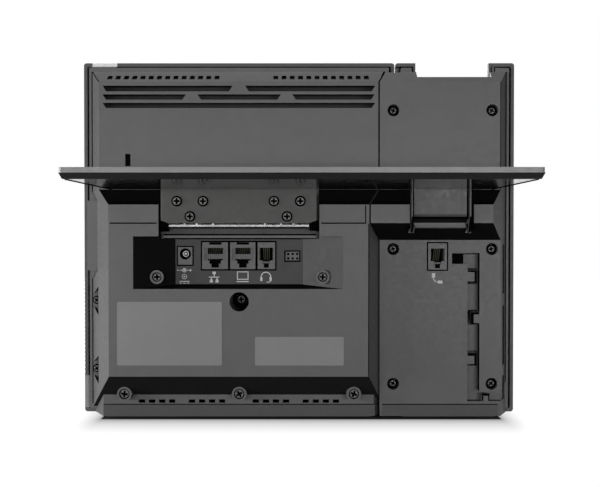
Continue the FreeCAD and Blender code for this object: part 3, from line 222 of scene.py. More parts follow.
def finish(name, colour, roughness, grain_mm, relief, mottle=0.05, **sockets):
    """A finish with a fine relief, a slow change of tone and a small change of roughness."""
    material = bpy.data.materials.new(name)
    material.use_nodes = True
    tree = material.node_tree
    shader = tree.nodes["Principled BSDF"]
    coords = add_node(tree, "TexCoord").outputs["Object"]
    tone = spread_over(tree, noise(tree, coords, TONE_LUMPS), 0.0, 1.0)
    mix = add_node(tree, "Mix", tone, data_type="RGBA")
    dark = [part * (1.0 - mottle) for part in colour]
    light = [part * (1.0 + mottle) for part in colour]
    mix.inputs["A"].default_value = (*dark, 1.0)
    mix.inputs["B"].default_value = (*light, 1.0)
    tree.links.new(mix.outputs["Result"], shader.inputs["Base Color"])
    lumps = noise(tree, coords, ROUGH_LUMPS)
    rough = spread_over(tree, lumps, roughness - ROUGH_STRAY, roughness + ROUGH_STRAY)
    tree.links.new(rough, shader.inputs["Roughness"])
    bump = add_node(tree, "Bump")
    bump.inputs["Strength"].default_value = relief
    bump.inputs["Distance"].default_value = grain_mm * MM * GRAIN_HEIGHT
    tree.links.new(noise(tree, coords, grain_mm, GRAIN_DETAIL), bump.inputs["Height"])
    tree.links.new(bump.outputs["Normal"], shader.inputs["Normal"])
    for socket, value in sockets.items():
        shader.inputs[socket].default_value = value
    return material


def dress(node, material):
    """Gives a CAD node one finish."""
    mesh = NODES[node].data
    mesh.materials.clear()
    mesh.materials.append(material)


# Mesh helpers

# Edges are smooth below this angle, and sharp enough to be rounded above the other
SMOOTH_ANGLE = math.radians(33.0)
SHARP_ANGLE = math.radians(20.0)
# CAD points this near are joined, in millimetres, and CAD faces this even are made one
JOIN_GAP = 0.001
EVEN_ANGLE = math.radians(0.5)
# Least length of the edges beside a rounded one, as a share of the shortest that is rounded
BESIDE_SHARE = 0.5


def add_object(name, bm):
    """A new object in the scene, with a bmesh as its surface."""
    mesh = bpy.data.meshes.new(name)
    bm.to_mesh(mesh)
    bm.free()
    made = bpy.data.objects.new(name, mesh)
    bpy.context.scene.collection.objects.link(made)
    return made


def piece(name, bm, material, body, rounded=()):
    """Makes a finished object of a bmesh given in millimetres, riding on a body."""
    rounded = set(rounded)
    bmesh.ops.transform(bm, matrix=Matrix.Scale(MM, 4), verts=bm.verts)
    bmesh.ops.recalc_face_normals(bm, faces=bm.faces)
    for face in bm.faces:
        face.smooth = True
    for edge in bm.edges:
        border = len({face in rounded for face in edge.link_faces}) == 2
        edge.smooth = not border and edge.calc_face_angle(0.0) < SMOOTH_ANGLE
    made = add_object(name, bm)
    for paint in material if isinstance(material, list) else [material]:
        made.data.materials.append(paint)
    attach(made, body)
    return made


def add_block(bm, x, z, y):
    """A block given by its two sides, its two heights and its two depths."""
    low, high = Vector((x[0], y[0], z[0])), Vector((x[1], y[1], z[1]))
    place = Matrix.Translation((low + high) / 2)
    size = Matrix.Diagonal((*(high - low), 1.0))
    return bmesh.ops.create_cube(bm, size=1.0, matrix=place @ size)["verts"]


def add_strip(bm, x, foot, head, thick):
    """A flat strip across X that runs from a foot to a head, each given by its depth and height."""
    run = Vector((head[0] - foot[0], head[1] - foot[1]))
    place = Matrix.Translation(((x[0] + x[1]) / 2, (foot[0] + head[0]) / 2, (foot[1] + head[1]) / 2))
    turn = Matrix.Rotation(-math.atan2(run.x, run.y), 4, "X")
    size = Matrix.Diagonal((x[1] - x[0], thick, run.length, 1.0))
    bmesh.ops.create_cube(bm, size=1.0, matrix=place @ turn @ size)


def add_bar(bm, start, end, thick):
    """A square bar between two points."""
    run = Vector(end) - Vector(start)
    place = Matrix.Translation((Vector(start) + Vector(end)) / 2)
    turn = run.to_track_quat("Z", "Y").to_matrix().to_4x4()
    size = Matrix.Diagonal((thick, thick, run.length, 1.0))
    bmesh.ops.create_cube(bm, size=1.0, matrix=place @ turn @ size)


def add_frame(bm, x, z, y, width):
    """An upright picture frame of four bars."""
    foot, head = z[0] + width, z[1] - width
    bars = ((x, (head, z[1])), (x, (z[0], foot)), ((x[0], x[0] + width), (foot, head)),
            ((x[1] - width, x[1]), (foot, head)))
    return [vert for sides, heights in bars for vert in add_block(bm, sides, heights, y)]


def bevel(bm, edges, width, segments=3):
    """Rounds edges, and gives the new faces."""
    return bmesh.ops.bevel(bm, geom=list(edges), offset=width, offset_type="OFFSET", affect="EDGES",
                           segments=segments, profile=0.5, material=-1, clamp_overlap=True)["faces"]


def merged(node):
    """A CAD node's surface in millimetres, with its points joined and its flat faces made whole."""
    bm = bmesh.new()
    bm.from_mesh(NODES[node].data)
    bmesh.ops.transform(bm, matrix=Matrix.Scale(1.0 / MM, 4), verts=bm.verts)
    bmesh.ops.remove_doubles(bm, verts=bm.verts, dist=JOIN_GAP)
    bmesh.ops.dissolve_limit(bm, angle_limit=EVEN_ANGLE, use_dissolve_boundaries=False,
                             verts=bm.verts, edges=bm.edges)
    return bm


def long_sharp_edges(bm, shortest):
    """Sharp edges that leave room for a bevel: long ones whose ends touch no short edge."""
    chosen = []
    for edge in bm.edges:
        if len(edge.link_faces) != 2 or edge.calc_length() < shortest:
            continue
        if edge.calc_face_angle(0.0) < SHARP_ANGLE:
            continue
        beside = [other for vert in edge.verts for other in vert.link_edges]
        if min(other.calc_length() for other in beside) > shortest * BESIDE_SHARE:
            chosen.append(edge)
    return chosen


# Pictograms: bars (across, up, width, height, turn in degrees) and arcs (across, up, radius, width,
# start and sweep in degrees), in millimetres and as the viewer sees them

BARS = {
    "network": [(0, 2.6, 1.8, 1.4, 0), (0, 1.2, 0.5, 1.6, 0), (0, 0.2, 5.8, 0.5, 0),
                (-1.6, -0.4, 0.5, 1.2, 0), (1.6, -0.4, 0.5, 1.2, 0), (-1.6, -1.3, 1.2, 0.9, 0),
                (1.6, -1.3, 1.2, 0.9, 0), (-1.6, -2.2, 1.8, 1.2, 0), (1.6, -2.2, 1.8, 1.2, 0)],
    "screen": [(0, 2.8, 6.5, 0.5, 0), (0, -1.4, 6.5, 0.5, 0), (-3.0, 0.7, 0.5, 4.2, 0),
               (3.0, 0.7, 0.5, 4.2, 0), (0, -2.7, 6.8, 0.5, 0)],
    "headset": [(-2.6, -0.9, 1.2, 2.2, 0), (2.6, -0.9, 1.2, 2.2, 0), (1.0, -2.6, 1.4, 0.4, 0)],
    "handset": [(-1.1, 1.2, 1.9, 2.6, 0), (2.6, -2.5, 2.8, 1.7, 0)],
    "power": [(-3.6, 4.6, 1.0, 0.4, 0), (-1.9, 4.6, 1.2, 0.35, 0), (1.9, 4.6, 1.2, 0.35, 0),
              (3.4, 4.6, 1.0, 1.0, 0), (0, -1.7, 5.6, 0.45, 0), (-2.1, -2.7, 1.3, 0.4, 0),
              (0, -2.7, 1.3, 0.4, 0), (2.1, -2.7, 1.3, 0.4, 0)],
    "home": [(-1.3, 0.9, 3.6, 0.5, 40), (1.3, 0.9, 3.6, 0.5, -40), (-1.6, -1.0, 0.5, 2.6, 0),
             (1.6, -1.0, 0.5, 2.6, 0), (0, -2.1, 3.7, 0.5, 0)],
    "speaker": [(-1.8, 0, 1.2, 1.8, 0), (-0.8, 0, 1.0, 2.8, 0)],
    "mute": [(0, 0.8, 1.3, 2.6, 0), (0, -1.9, 0.4, 0.9, 0), (0, -2.4, 2.0, 0.4, 0), (0, 0, 0.4, 6.4, -45)],
    "less": [(0, 0, 3.4, 0.6, 0)],
    "more": [(0, 0, 3.4, 0.6, 0), (0, 0, 0.6, 3.4, 0)],
}
ARCS = {
    "headset": [(0, 0.3, 2.7, 0.55, 0, 180), (1.0, -1.2, 1.6, 0.45, 270, 70)],
    "handset": [(1.4, 0.0, 2.55, 0.5, 180, 90)],
    "power": [(0, 4.6, 1.0, 0.4, 0, 360), (0, 4.6, 0.3, 0.5, 0, 360), (0, 1.0, 1.3, 0.3, 0, 360),
              (0, 1.0, 0.3, 0.4, 0, 360)],
    "speaker": [(-0.2, 0, 1.5, 0.45, -45, 90), (-0.2, 0, 2.6, 0.45, -45, 90)],
    "mute": [(0, 0.3, 1.5, 0.4, 180, 180)],
}
# Degrees to one step of an arc, and the fewest steps
ARC_STEP = 12
FEWEST_STEPS = 4
WHOLE_TURN = 360


def add_mark(bm, name, x, face, z, thick, backwards):
    """Lays a pictogram on an upright face that looks to the back or to the front."""
    made = []
    for across, up, width, height, turn in BARS[name]:
        place = Matrix.Translation((across, 0.0, up)) @ Matrix.Rotation(math.radians(-turn), 4, "Y")
        size = Matrix.Diagonal((width, thick, height, 1.0))
        made += bmesh.ops.create_cube(bm, size=1.0, matrix=place @ size)["verts"]
    for across, up, radius, width, start, sweep in ARCS.get(name, ()):
        made += add_arc(bm, (across, up), radius, (width, thick), (start, sweep))
    side = 1.0 if backwards else -1.0
    place = Matrix.Translation((x, face + side * thick / 2, z)) @ Matrix.Diagonal((-side, 1.0, 1.0, 1.0))
    bmesh.ops.transform(bm, matrix=place, verts=made)


def add_arc(bm, centre, radius, section, angles):
    """A ring, or part of one, made by turning a small rectangle about the depth axis."""
    middle = Vector((centre[0], 0.0, centre[1]))
    start, sweep = [math.radians(value) for value in angles]
    turned = Matrix.Rotation(-start, 4, "Y") @ Matrix.Translation((radius, 0.0, 0.0))
    place = Matrix.Translation(middle) @ turned @ Matrix.Diagonal((*section, 1.0, 1.0))
    verts = bmesh.ops.create_grid(bm, x_segments=1, y_segments=1, size=0.5, matrix=place)["verts"]
    faces = list(verts[0].link_faces)
    edges = list(faces[0].edges)
    whole = angles[1] == WHOLE_TURN
    if whole:
        bmesh.ops.delete(bm, geom=faces, context="FACES_ONLY")
        faces = []
    known = set(bm.verts) - set(verts)
    bmesh.ops.spin(bm, geom=verts + edges + faces, cent=middle, axis=(0.0, -1.0, 0.0), angle=sweep,
                   steps=max(FEWEST_STEPS, int(angles[1] / ARC_STEP)), use_merge=whole)
    return [vert for vert in bm.verts if vert not in known]


# Screws

SCREW_SIDES = 28
# Shares of the head's radius: its flat top, and the reach and half width of the cross in it
FLAT_TOP = 0.70
CROSS_REACH = 0.58
CROSS_HALF = 0.19
# Width of the cross at its foot, as a share of its width at the top
CROSS_TAPER = 0.62
# Rings from the flat top down to the shank: share of the head's radius, and share of its height; and the
# shank's share of that radius
HEAD_RINGS = ((0.92, 0.12), (1.0, 0.42), (1.0, 1.0), (0.5, 1.0))
SHANK_SHARE = 0.5
# Faces lower than this share of the head's height are painted dark as shade
SHADED_SHOULDER_DROP = 0.01
# Height of each node's heads, and whether they are turned one unlike another
HEADS = {"case_screws": (1.6, True), "module_screws": (1.6, True), "bracket_screws": (0.9, False)}
# Degrees that a head is turned for each millimetre that it lies across and up
TURN_ACROSS = 5.0
TURN_UP = 3.0
# Heights between which the case screws' heads fill their seats, and how much wider they are there
WIDE_HEADS = ((0.0, 20.0), (74.0, 86.0))
WIDE_SHARE = 1.22


def drawn_out(bm, edges):
    """Draws edges out into faces, and gives the new points, the edges between them and the faces."""
    grown = bmesh.ops.extrude_edge_only(bm, edges=edges)["geom"]
    verts = [item for item in grown if isinstance(item, bmesh.types.BMVert)]
    far = [item for item in grown if isinstance(item, bmesh.types.BMEdge)
           and all(vert in verts for vert in item.verts)]
    return verts, far, [item for item in grown if isinstance(item, bmesh.types.BMFace)]


def add_cross_screw(bm, x, z, seat, radius, height, depth, tip, turn):
    """A pan-head screw that points towards the front, with a tapered cross recess; the recess and the head below its
    flat top are painted black as shade.
    """
    arm, half, flat = [radius * share for share in (CROSS_REACH, CROSS_HALF, FLAT_TOP)]
    rim = bmesh.ops.create_circle(bm, segments=SCREW_SIDES, radius=flat, cap_ends=False)["verts"]
    plus = [(half, half), (half, arm), (-half, arm), (-half, half), (-arm, half), (-arm, -half),
            (-half, -half), (-half, -arm), (half, -arm), (half, -half), (arm, -half), (arm, half)]
    cross = [bm.verts.new((a, b, 0.0)) for a, b in plus]
    cross_edges = [bm.edges.new((a, b)) for a, b in zip(cross, cross[1:] + cross[:1])]
    rim_edges = list({edge for vert in rim for edge in vert.link_edges})
    bmesh.ops.triangle_fill(bm, edges=rim_edges + cross_edges, use_beauty=True)
    floor, floor_edges, walls = drawn_out(bm, cross_edges)
    for vert in floor:
        vert.co = (vert.co.x * CROSS_TAPER, vert.co.y * CROSS_TAPER, -depth)
    # Painted shade: the cross recess's walls and floor are black
    for face in walls + bmesh.ops.contextual_create(bm, geom=floor_edges)["faces"]:
        face.material_index = 1
    loop = rim_edges
    verts = list(rim) + cross + floor
    for share, down in (*HEAD_RINGS, (SHANK_SHARE, 1.0 + (seat - tip) / height)):
        ring, loop, _ = drawn_out(bm, loop)
        for vert in ring:
            direction = Vector((vert.co.x, vert.co.y)).normalized() * radius * share
            vert.co = (direction.x, direction.y, -down * height)
        verts += ring
    bmesh.ops.contextual_create(bm, geom=loop)
    # Painted shade: the shoulder and shank below the flat top are black
    for face in {face for vert in verts for face in vert.link_faces}:
        if face.calc_center_median().z < -SHADED_SHOULDER_DROP * height:
            face.material_index = 1
    place = Matrix.Translation((x, seat + height, z)) @ Matrix.Rotation(math.radians(-90.0), 4, "X")
    place = place @ Matrix.Rotation(turn, 4, "Z")
    bmesh.ops.transform(bm, matrix=place, verts=verts)


def screw_spots(node):
    """Centre, head radius, tip and top of every screw in a CAD node, from its separate solids."""
    bm = bmesh.new()
    bm.from_mesh(NODES[node].data)
    bmesh.ops.remove_doubles(bm, verts=bm.verts, dist=MM * JOIN_GAP)
    spots = []
    left = set(bm.verts)
    while left:
        stack = [left.pop()]
        island = set(stack)
        while stack:
            for edge in stack.pop().link_edges:
                for vert in edge.verts:
                    if vert not in island:
                        island.add(vert)
                        stack.append(vert)
        left -= island
        low, high = [[pick(vert.co[i] / MM for vert in island) for i in range(3)] for pick in (min, max)]
        middle = [(a + b) / 2 for a, b in zip(low, high)]
        spots.append((middle[0], middle[2], (high[0] - low[0]) / 2, low[1], high[1]))
    bm.free()
    return sorted(spots)


# Operators


class PHONE_OT_stage(bpy.types.Operator):
    """Sets up the floor, the surroundings, the lights and the camera"""
    bl_idname = "phone.stage"
    bl_label = "Studio"

    def execute(self, context):
        studio = context.scene.phone_studio
        context.scene.view_settings.view_transform = "Standard"
        self.make_floor()
        self.make_world(context.scene, studio.ambient)
        for name, place, size, power in LIGHTS:
            self.make_light(name, place, size, power * studio.light)
        self.make_camera(context.scene, studio)
        return {"FINISHED"}

    def make_floor(self):
        """A wide grey floor that looks white to the camera, save for a shade round the phone's foot, painted by
        fading the glow over the floor's own faint shadow.
        """
        bm = bmesh.new()
        bmesh.ops.create_grid(bm, x_segments=1, y_segments=1, size=FLOOR_REACH)
        floor = add_object("floor", bm)
        material = bpy.data.materials.new("floor_paint")
        material.use_nodes = True
        tree = material.node_tree
        tree.nodes.clear()
        paint = add_node(tree, "BsdfDiffuse")
        paint.inputs["Color"].default_value = (FLOOR_GREY, FLOOR_GREY, FLOOR_GREY, 1.0)
        shadowed = add_node(tree, "BsdfDiffuse")
        shadowed.inputs["Color"].default_value = (SEEN_GREY, SEEN_GREY, SEEN_GREY, 1.0)
        place = add_node(tree, "TexCoord").outputs["Object"]
        outside = place
        for operation, value in (("SUBTRACT", FOOT_CENTRE), ("ABSOLUTE", None), ("SUBTRACT", FOOT_HALF),
                                 ("MAXIMUM", (0.0, 0.0, 0.0)), ("MULTIPLY", SIDE_FADE)):
            step = add_node(tree, "VectorMath", outside, operation=operation)
            if value:
                step.inputs[1].default_value = value
            outside = step.outputs["Vector"]
        reach = add_node(tree, "VectorMath", outside, operation="LENGTH").outputs["Value"]
        # Painted shade: the white glow fades out towards the footprint
        fade = carry_over(tree, reach, SHADE_REACH, (0.0, 1.0))
        curve = add_node(tree, "Math", fade, operation="POWER")
        curve.inputs[1].default_value = SHADE_CURVE
        glow = add_node(tree, "Emission")
        tree.links.new(curve.outputs[0], glow.inputs["Strength"])
        seen = add_node(tree, "AddShader", shadowed.outputs[0], glow.outputs[0])
        depth = add_node(tree, "SeparateXYZ", place).outputs["Y"]
        behind = carry_over(tree, depth, MIRROR_FADE, (1.0, 0.0))
        path = add_node(tree, "LightPath").outputs
        mirrored = add_node(tree, "Math", path["Is Glossy Ray"], behind, operation="MULTIPLY")
        total = add_node(tree, "Math", path["Is Camera Ray"], mirrored.outputs[0], operation="MAXIMUM")
        mix = add_node(tree, "MixShader", total.outputs[0], paint.outputs[0], seen.outputs[0])
        add_node(tree, "OutputMaterial", mix.outputs[0])
        floor.data.materials.append(material)

    def make_world(self, scene, ambient):
        """Plain surroundings, white where the camera sees them."""
        world = bpy.data.worlds.new("surroundings")
        scene.world = world
        world.use_nodes = True
        tree = world.node_tree
        tree.nodes.clear()
        soft = add_node(tree, "Background")
        soft.inputs["Strength"].default_value = ambient
        white = add_node(tree, "Background")
        for shader in (soft, white):
            shader.inputs["Color"].default_value = (1.0, 1.0, 1.0, 1.0)
        path = add_node(tree, "LightPath").outputs
        mix = add_node(tree, "MixShader", path["Is Camera Ray"], soft.outputs[0], white.outputs[0])
        add_node(tree, "OutputWorld", mix.outputs[0])

    def make_light(self, name, place, size, power):
        """A soft light panel aimed at the phone."""
        data = bpy.data.lights.new(name, "AREA")
        data.shape = "RECTANGLE"
        data.size, data.size_y = size
        data.energy = power
        self.put_up(name, data, place, Vector(LIGHT_AIM) - Vector(place))

    def make_camera(self, scene, studio):
        """The camera behind the phone, level with its middle and tilted down a little."""
        data = bpy.data.cameras.new("camera")
        data.lens = studio.lens
        data.sensor_width = SENSOR
        scene.camera = self.put_up("camera", data, studio.camera, Vector((SIGHT_SIDE, -1.0, -SIGHT_DOWN)))

    def put_up(self, name, data, place, sight):
        """An object at a place that looks along a line."""
        made = bpy.data.objects.new(name, data)
        made.location = place
        made.rotation_mode = "QUATERNION"
        made.rotation_quaternion = sight.to_track_quat("-Z", "Y")
        bpy.context.scene.collection.objects.link(made)
        return made


# CAD nodes that wear each finish
WEARERS = {
    "case_plastic": ["main_rear_housing"],
    "insert_and_shade_plastic": ["jack_panel", "hinge_base"],
    "module_plastic": ["module_rear_housing"],
    "front_plastic": ["front_bezel", "module_front", "speaker_grille", "handset_shell", "handset_cover",
                      "cradle_hook", "hook_plunger", "handset_microphone", "receiver_capsule"],
    "stand_plastic": ["stand_plate"],
    "gloss_plastic": ["stand_cover"],
    "arm_plastic": ["side_arm"],
    "bracket_paint": ["hinge_bracket"],
    "jack_plastic": ["lan_jack", "pc_jack", "headset_jack", "handset_jack", "power_jack", "console_header"],
    "key_plastic": [name for name in NODES if name.startswith("key_") and name != "key_mat"],
    "frosted_lens": ["message_light"],
    "black_plastic_and_shade": ["friction_washers", "hook_switch", "usb_tongues", "handset_socket", "loudspeaker",
                      # The arm's pins are black as painted shade in the gaps beside the arm
                      "arm_pins"],
    "black_zinc": ["case_screws", "module_screws", "bracket_screws"],
    "ground_steel": ["hinge_leaf", "handset_weight", "power_pin"],
    "dark_steel": ["hinge_rod"],
    "gold_plate": ["jack_contacts", "header_pins"],
    "pad_rubber": ["main_foot_pad", "module_foot_pad", "stand_edge_strip", "key_mat"],
    "cover_glass": ["display_glass"],
    "folded_sheet": ["usb_ports"],
    "black_film": ["lcd_tray", "lcd_module"],
    "solder_mask": ["main_board", "module_board"],
}


class PHONE_OT_finishes(bpy.types.Operator):
    """Gives every CAD node its finish"""
    bl_idname = "phone.finishes"
    bl_label = "Finishes"

    def execute(self, context):
        colours = context.scene.phone_colours
        grain = context.scene.phone_details.grain / MM
        dull, soft, dim, flat = [{"Specular IOR Level": level} for level in (0.40, 0.30, 0.15, 0.01)]
        # Name, colour, roughness, size of the grain, relief and mottle
        finish("case_plastic", colours.case, 0.50, grain, 0.16, **dull)
        # Painted shade on the slopes that face down
        finish("painted_shade_slope", colours.shade, 0.60, grain, 0.05, **flat)
        # Painted shade in pockets and recesses, nearly black
        finish("painted_deep_shade", colours.deep, 0.70, grain, 0.05, **flat)
        # Painted light: a pale grey for the floor of the arm's notch, lighter than the case
        finish("notch_painted_light", (0.10,) * 3, 0.50, grain, 0.10, **dull)
        # The insert's grey, also used as painted shade on the socket recess's right wall
        finish("insert_and_shade_plastic", colours.insert, 0.50, grain, 0.12, **dim)
        finish("module_plastic", colours.module, 0.50, grain, 0.16, **dull)
        finish("front_plastic", colours.front, 0.50, grain, 0.12, **dull)
        finish("stand_plastic", colours.stand, 0.42, grain, 0.10)
        finish("gloss_plastic", colours.gloss, 0.12, 2.0, 0.02)
        finish("arm_plastic", colours.arm, 0.45, grain, 0.10, **soft)
        finish("bracket_paint", colours.bracket, 0.50, 0.5, 0.08, **soft)
        finish("jack_plastic", colours.jack, 0.45, 0.5, 0.04, **dull)
        finish("key_plastic", colours.key, 0.45, grain, 0.08)
        finish("frosted_lens", colours.lens, 0.35, 0.5, 0.05, 0.02)
        # Painted highlight: a pale grey for the lower rim beside the grille
        finish("rim_highlight_paint", (0.135,) * 3, 0.50, 0.5, 0.05, **dull)
        # Black of the black parts, also laid as painted shade in holes, recesses, gaps, cavities and screw recesses
        finish("black_plastic_and_shade", (0.0006,) * 3, 0.60, 0.5, 0.05, **flat)
        finish("black_zinc", colours.screw, 0.42, 0.3, 0.05, **dull)
        finish("ground_steel", (0.12,) * 3, 0.30, 0.2, 0.05, Metallic=1.0)
        finish("dark_steel", (0.03,) * 3, 0.45, 0.2, 0.05, **dim)
        finish("gold_plate", (0.30, 0.24, 0.13), 0.40, 0.3, 0.05, Metallic=1.0)
        finish("pad_rubber", (0.025,) * 3, 0.80, 0.4, 0.20, **dim)
        finish("cover_glass", (0.006, 0.006, 0.007), 0.04, 4.0, 0.0)
        finish("folded_sheet", (0.30, 0.30, 0.31), 0.40, 0.3, 0.05, Metallic=1.0)
        finish("black_film", (0.010,) * 3, 0.60, 0.5, 0.02, **dim)
        finish("solder_mask", (0.003, 0.005, 0.004), 0.50, 1.0, 0.10, **dim)
        dressed = set()
        for name, nodes in WEARERS.items():
            for node in nodes:
                dress(node, bpy.data.materials[name])
                dressed.add(node)
        missing = sorted(set(NODES) - dressed)
        if missing:
            raise RuntimeError(f"no finish for {missing}")
        return {"FINISHED"}


class PHONE_OT_screws(bpy.types.Operator):
    """Makes the cross-recess screws in place of the plain ones"""
    bl_idname = "phone.screws"
    bl_label = "Screws"

    def execute(self, context):
        depth = context.scene.phone_details.recess / MM
        for node, (height, turned) in HEADS.items():
            bm = bmesh.new()
            for x, z, radius, tip, top in screw_spots(node):
                turn = math.radians((x * TURN_ACROSS + z * TURN_UP) % 90.0) if turned else 0.0
                if node == "case_screws" and any(low < z < high for low, high in WIDE_HEADS):
                    radius *= WIDE_SHARE
                add_cross_screw(bm, x, z, top - height, radius, height, depth, tip, turn)
            # Black for the painted shade in the recess and on the shoulder
            paints = [bpy.data.materials[name] for name in ("black_zinc", "black_plastic_and_shade")]
            made = piece(node + "_cross", bm, paints, body_of(node))
            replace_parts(made, node)
        return {"FINISHED"}


# Faces of each node painted with shade or light: low and high corner of the box they lie in, axis and sign of the way
# they look (0 for across that axis, None for any way), and paint
SHADE_AND_LIGHT_PAINTS = ("painted_shade_slope", "painted_deep_shade", "notch_painted_light", "black_plastic_and_shade", "insert_and_shade_plastic")
SHADE, DEEP_SHADE, PALE_LIGHT, BLACK_SHADE, INSERT_SHADE = range(1, 6)
SHADE_AND_LIGHT_FACES = {
    # Painted shade on the main shell: its bottom slope, the slope under the stand, the walls and floor of the socket
    # recess, the hinge pocket's walls, the insides of the vents, louvres, slots, side pockets and port corners, and
    # the side groove
    "main_rear_housing": (
        ((-60, -6, 4), (125, 21, 27), 2, -1, SHADE), ((-60, 4, 119.5), (125, 21, 130), 2, 1, BLACK_SHADE),
        ((69, 7, 70), (94, 21, 104), 0, -1, DEEP_SHADE), ((-27, 7, 73), (-1, 21, 103), 0, 1, INSERT_SHADE),
        ((-27, 7, 73), (94, 21, 76), 2, 1, DEEP_SHADE), ((-12, 4, 101), (78, 21, 130), 0, 1, DEEP_SHADE),
        ((-12, 4, 101), (78, 21, 130), 0, -1, DEEP_SHADE), ((-50, -6, 191.0), (112, 5, 196), 1, 0, BLACK_SHADE),
        ((-44, 1.9, 175.2), (112, 5.1, 188), 1, 0, BLACK_SHADE), ((-25, 1.9, 8.0), (92, 5.1, 10.1), 1, 0, BLACK_SHADE),
        ((95.3, 0, 142.3), (98.5, 5.1, 149.5), 1, 0, BLACK_SHADE), ((113, -5, 122.9), (122, 21, 128), 1, 0, BLACK_SHADE),
        ((113, -5, 78.7), (122, 21, 83.5), 1, 0, BLACK_SHADE), ((119, -6, 5.9), (119.8, -4.9, 198), 1, 1, BLACK_SHADE),
        ((113.9, -6, 18), (119, 4.2, 75), 1, 0, BLACK_SHADE),
    ),
    # Painted shade on the module's shell: its pocket slopes, the walls of the arm's notch, the cord channel's wall
    # and the side groove; painted light on the notch's floor
    "module_rear_housing": (
        ((-125, 4, 100), (-39, 21, 111), 2, -1, DEEP_SHADE), ((-125, 4, 119.5), (-39, 21, 130), 2, 1, BLACK_SHADE),
        ((-97, 9, 101), (-60.5, 21, 111), 2, 1, PALE_LIGHT), ((-97, 9, 104), (-60, 21, 127), 0, 1, DEEP_SHADE),
        ((-97, 9, 104), (-60, 21, 127), 0, -1, DEEP_SHADE), ((-102.5, 0.1, 14), (-102.3, 5.1, 94), 0, 1, BLACK_SHADE),
        ((-119.9, -5.6, 17.9), (-119.1, -5.4, 198), 1, 1, BLACK_SHADE),
        ((-97, 9.9, 110), (-60, 10.1, 127), 1, 1, DEEP_SHADE),
    ),
    # Painted shade under the arm's toe and on its lugs
    "side_arm": (
        ((-95, 12, 104), (-61, 46, 113.7), 2, -1, BLACK_SHADE), ((-95, 12, 104), (-61, 46, 111), 0, None, BLACK_SHADE),
    ),
    # Painted shade on the ends of the hinge bar
    "hinge_base": (
        ((71.5, 4, 101), (78, 20, 127), 0, None, BLACK_SHADE), ((-12, 4, 101), (-4.5, 20, 127), 0, None, BLACK_SHADE),
    ),
}
# A face looks along an axis with this much of its normal, and across it with less than the second
ALONG = 0.25
ACROSS = 0.5
# Nodes whose edges are rounded, and the share of the edge radius that each takes
EDGED = {
    "main_rear_housing": 0.8, "module_rear_housing": 0.8, "front_bezel": 0.8, "module_front": 0.8,
    "stand_plate": 1.2, "stand_cover": 0.8, "hinge_bracket": 1.0, "side_arm": 0.8, "hinge_base": 0.8,
    "jack_panel": 0.6, "handset_cover": 1.0, "main_foot_pad": 0.5, "module_foot_pad": 0.5,
}
# Shortest edge that is rounded, as a share of its radius
ROUND_FROM = 6.0


class PHONE_OT_edges(bpy.types.Operator):
    """Rounds the long moulded edges on merged copies of the CAD pieces"""
    bl_idname = "phone.edges"
    bl_label = "Rounded edges"

    def execute(self, context):
        width = context.scene.phone_details.edge / MM
        extra = [bpy.data.materials[name] for name in SHADE_AND_LIGHT_PAINTS]
        for node, share in EDGED.items():
            bm = merged(node)
            jobs = SHADE_AND_LIGHT_FACES.get(node, ())
            # Painted shade and light on the faces listed for this node
            for low, high, axis, sign, index in jobs:
                self.paint(bm, low, high, axis, sign, index)
            radius = width * share
            rounded = bevel(bm, long_sharp_edges(bm, radius * ROUND_FROM), radius)
            paints = [NODES[node].data.materials[0]] + (extra if jobs else [])
            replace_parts(piece(node + "_edged", bm, paints, body_of(node), rounded), node)
        return {"FINISHED"}

    def paint(self, bm, low, high, axis, sign, index):
        """Gives a paint of painted shade or light to the faces inside a box that look along an axis, or across it, or
        any way.
        """
        for face in bm.faces:
            if all(low[i] <= vert.co[i] <= high[i] for vert in face.verts for i in range(3)):
                toward = face.normal[axis]
                if sign is None or sign * toward > ALONG or (sign == 0 and abs(toward) < ACROSS):
                    face.material_index = index


# Modular jacks: X, depth of the face, top, width of the plug cavity and kind
JACKS = ((47.2, 8.2, 99.7, 11.9, "eight"), (31.6, 8.2, 99.7, 11.9, "eight"),
         (18.4, 8.2, 99.7, 7.9, "four"), (-78.55, 5.2, 99.2, 7.9, "four"))
# For each kind: half width of the comb of wires; foot and head of the bar under it, and the drop of the
# wires, all below the cavity's roof; steps of the latch notch; number of wires
JACK_KINDS = {
    "eight": (4.3, (6.4, 3.6), 3.6, ((3.2, 9.0, 6.4), (2.13, 11.2, 9.0)), 8),
    "four": (3.6, (8.8, 7.8), 7.8, ((3.1, 9.9, 8.8), (1.7, 11.6, 9.9)), 4),
}
# The cavity's roof under the jack's top; foot of the side guides under the roof; and how deep the guides
# start and end behind the jack's face
ROOF_DROP = 3.4
SIDE_FOOT = 7.2
GUIDE_SUNK = 0.8
GUIDE_END = 9.5
# Contact wires: spacing, half width, thickness, and how deep they start and end
WIRE_PITCH = 1.02
WIRE_HALF = 0.24
WIRE_THICK = 0.35
WIRE_SUNK = 1.6
WIRE_END = 8.4
# Faces of a jack deeper than this are painted dark as shade, save within this drop of the four-way jacks' tops
SHADED_FROM = 0.4
SLOT_DROP = 3.2
# Power socket: X and Z; radius, width and length, and middle depth of its ring; and radius, length, middle
# depth and sides of its pin
POWER_SPOT = (64.0, 92.8)
POWER_RING = (1.5, (0.4, 6.0), 3.6)
POWER_PIN = (0.6, 8.2, 3.1, 24)
# Dark gaps round the sockets: X, Z and depth of the face that each lies on; their width and thickness
FRAMES = (
    ((59.3, 68.9), (86.0, 97.4), 8.0), ((39.3, 55.3), (83.5, 100.1), 8.0),
    ((23.8, 39.5), (83.5, 100.1), 8.0), ((12.7, 24.0), (83.5, 100.1), 8.0),
    ((-84.6, -72.5), (83.1, 99.5), 5.0), ((-0.9, 8.3), (88.4, 94.8), 8.0),
)
FRAME_WIDTH = 0.75
FRAME_PROUD = 0.22


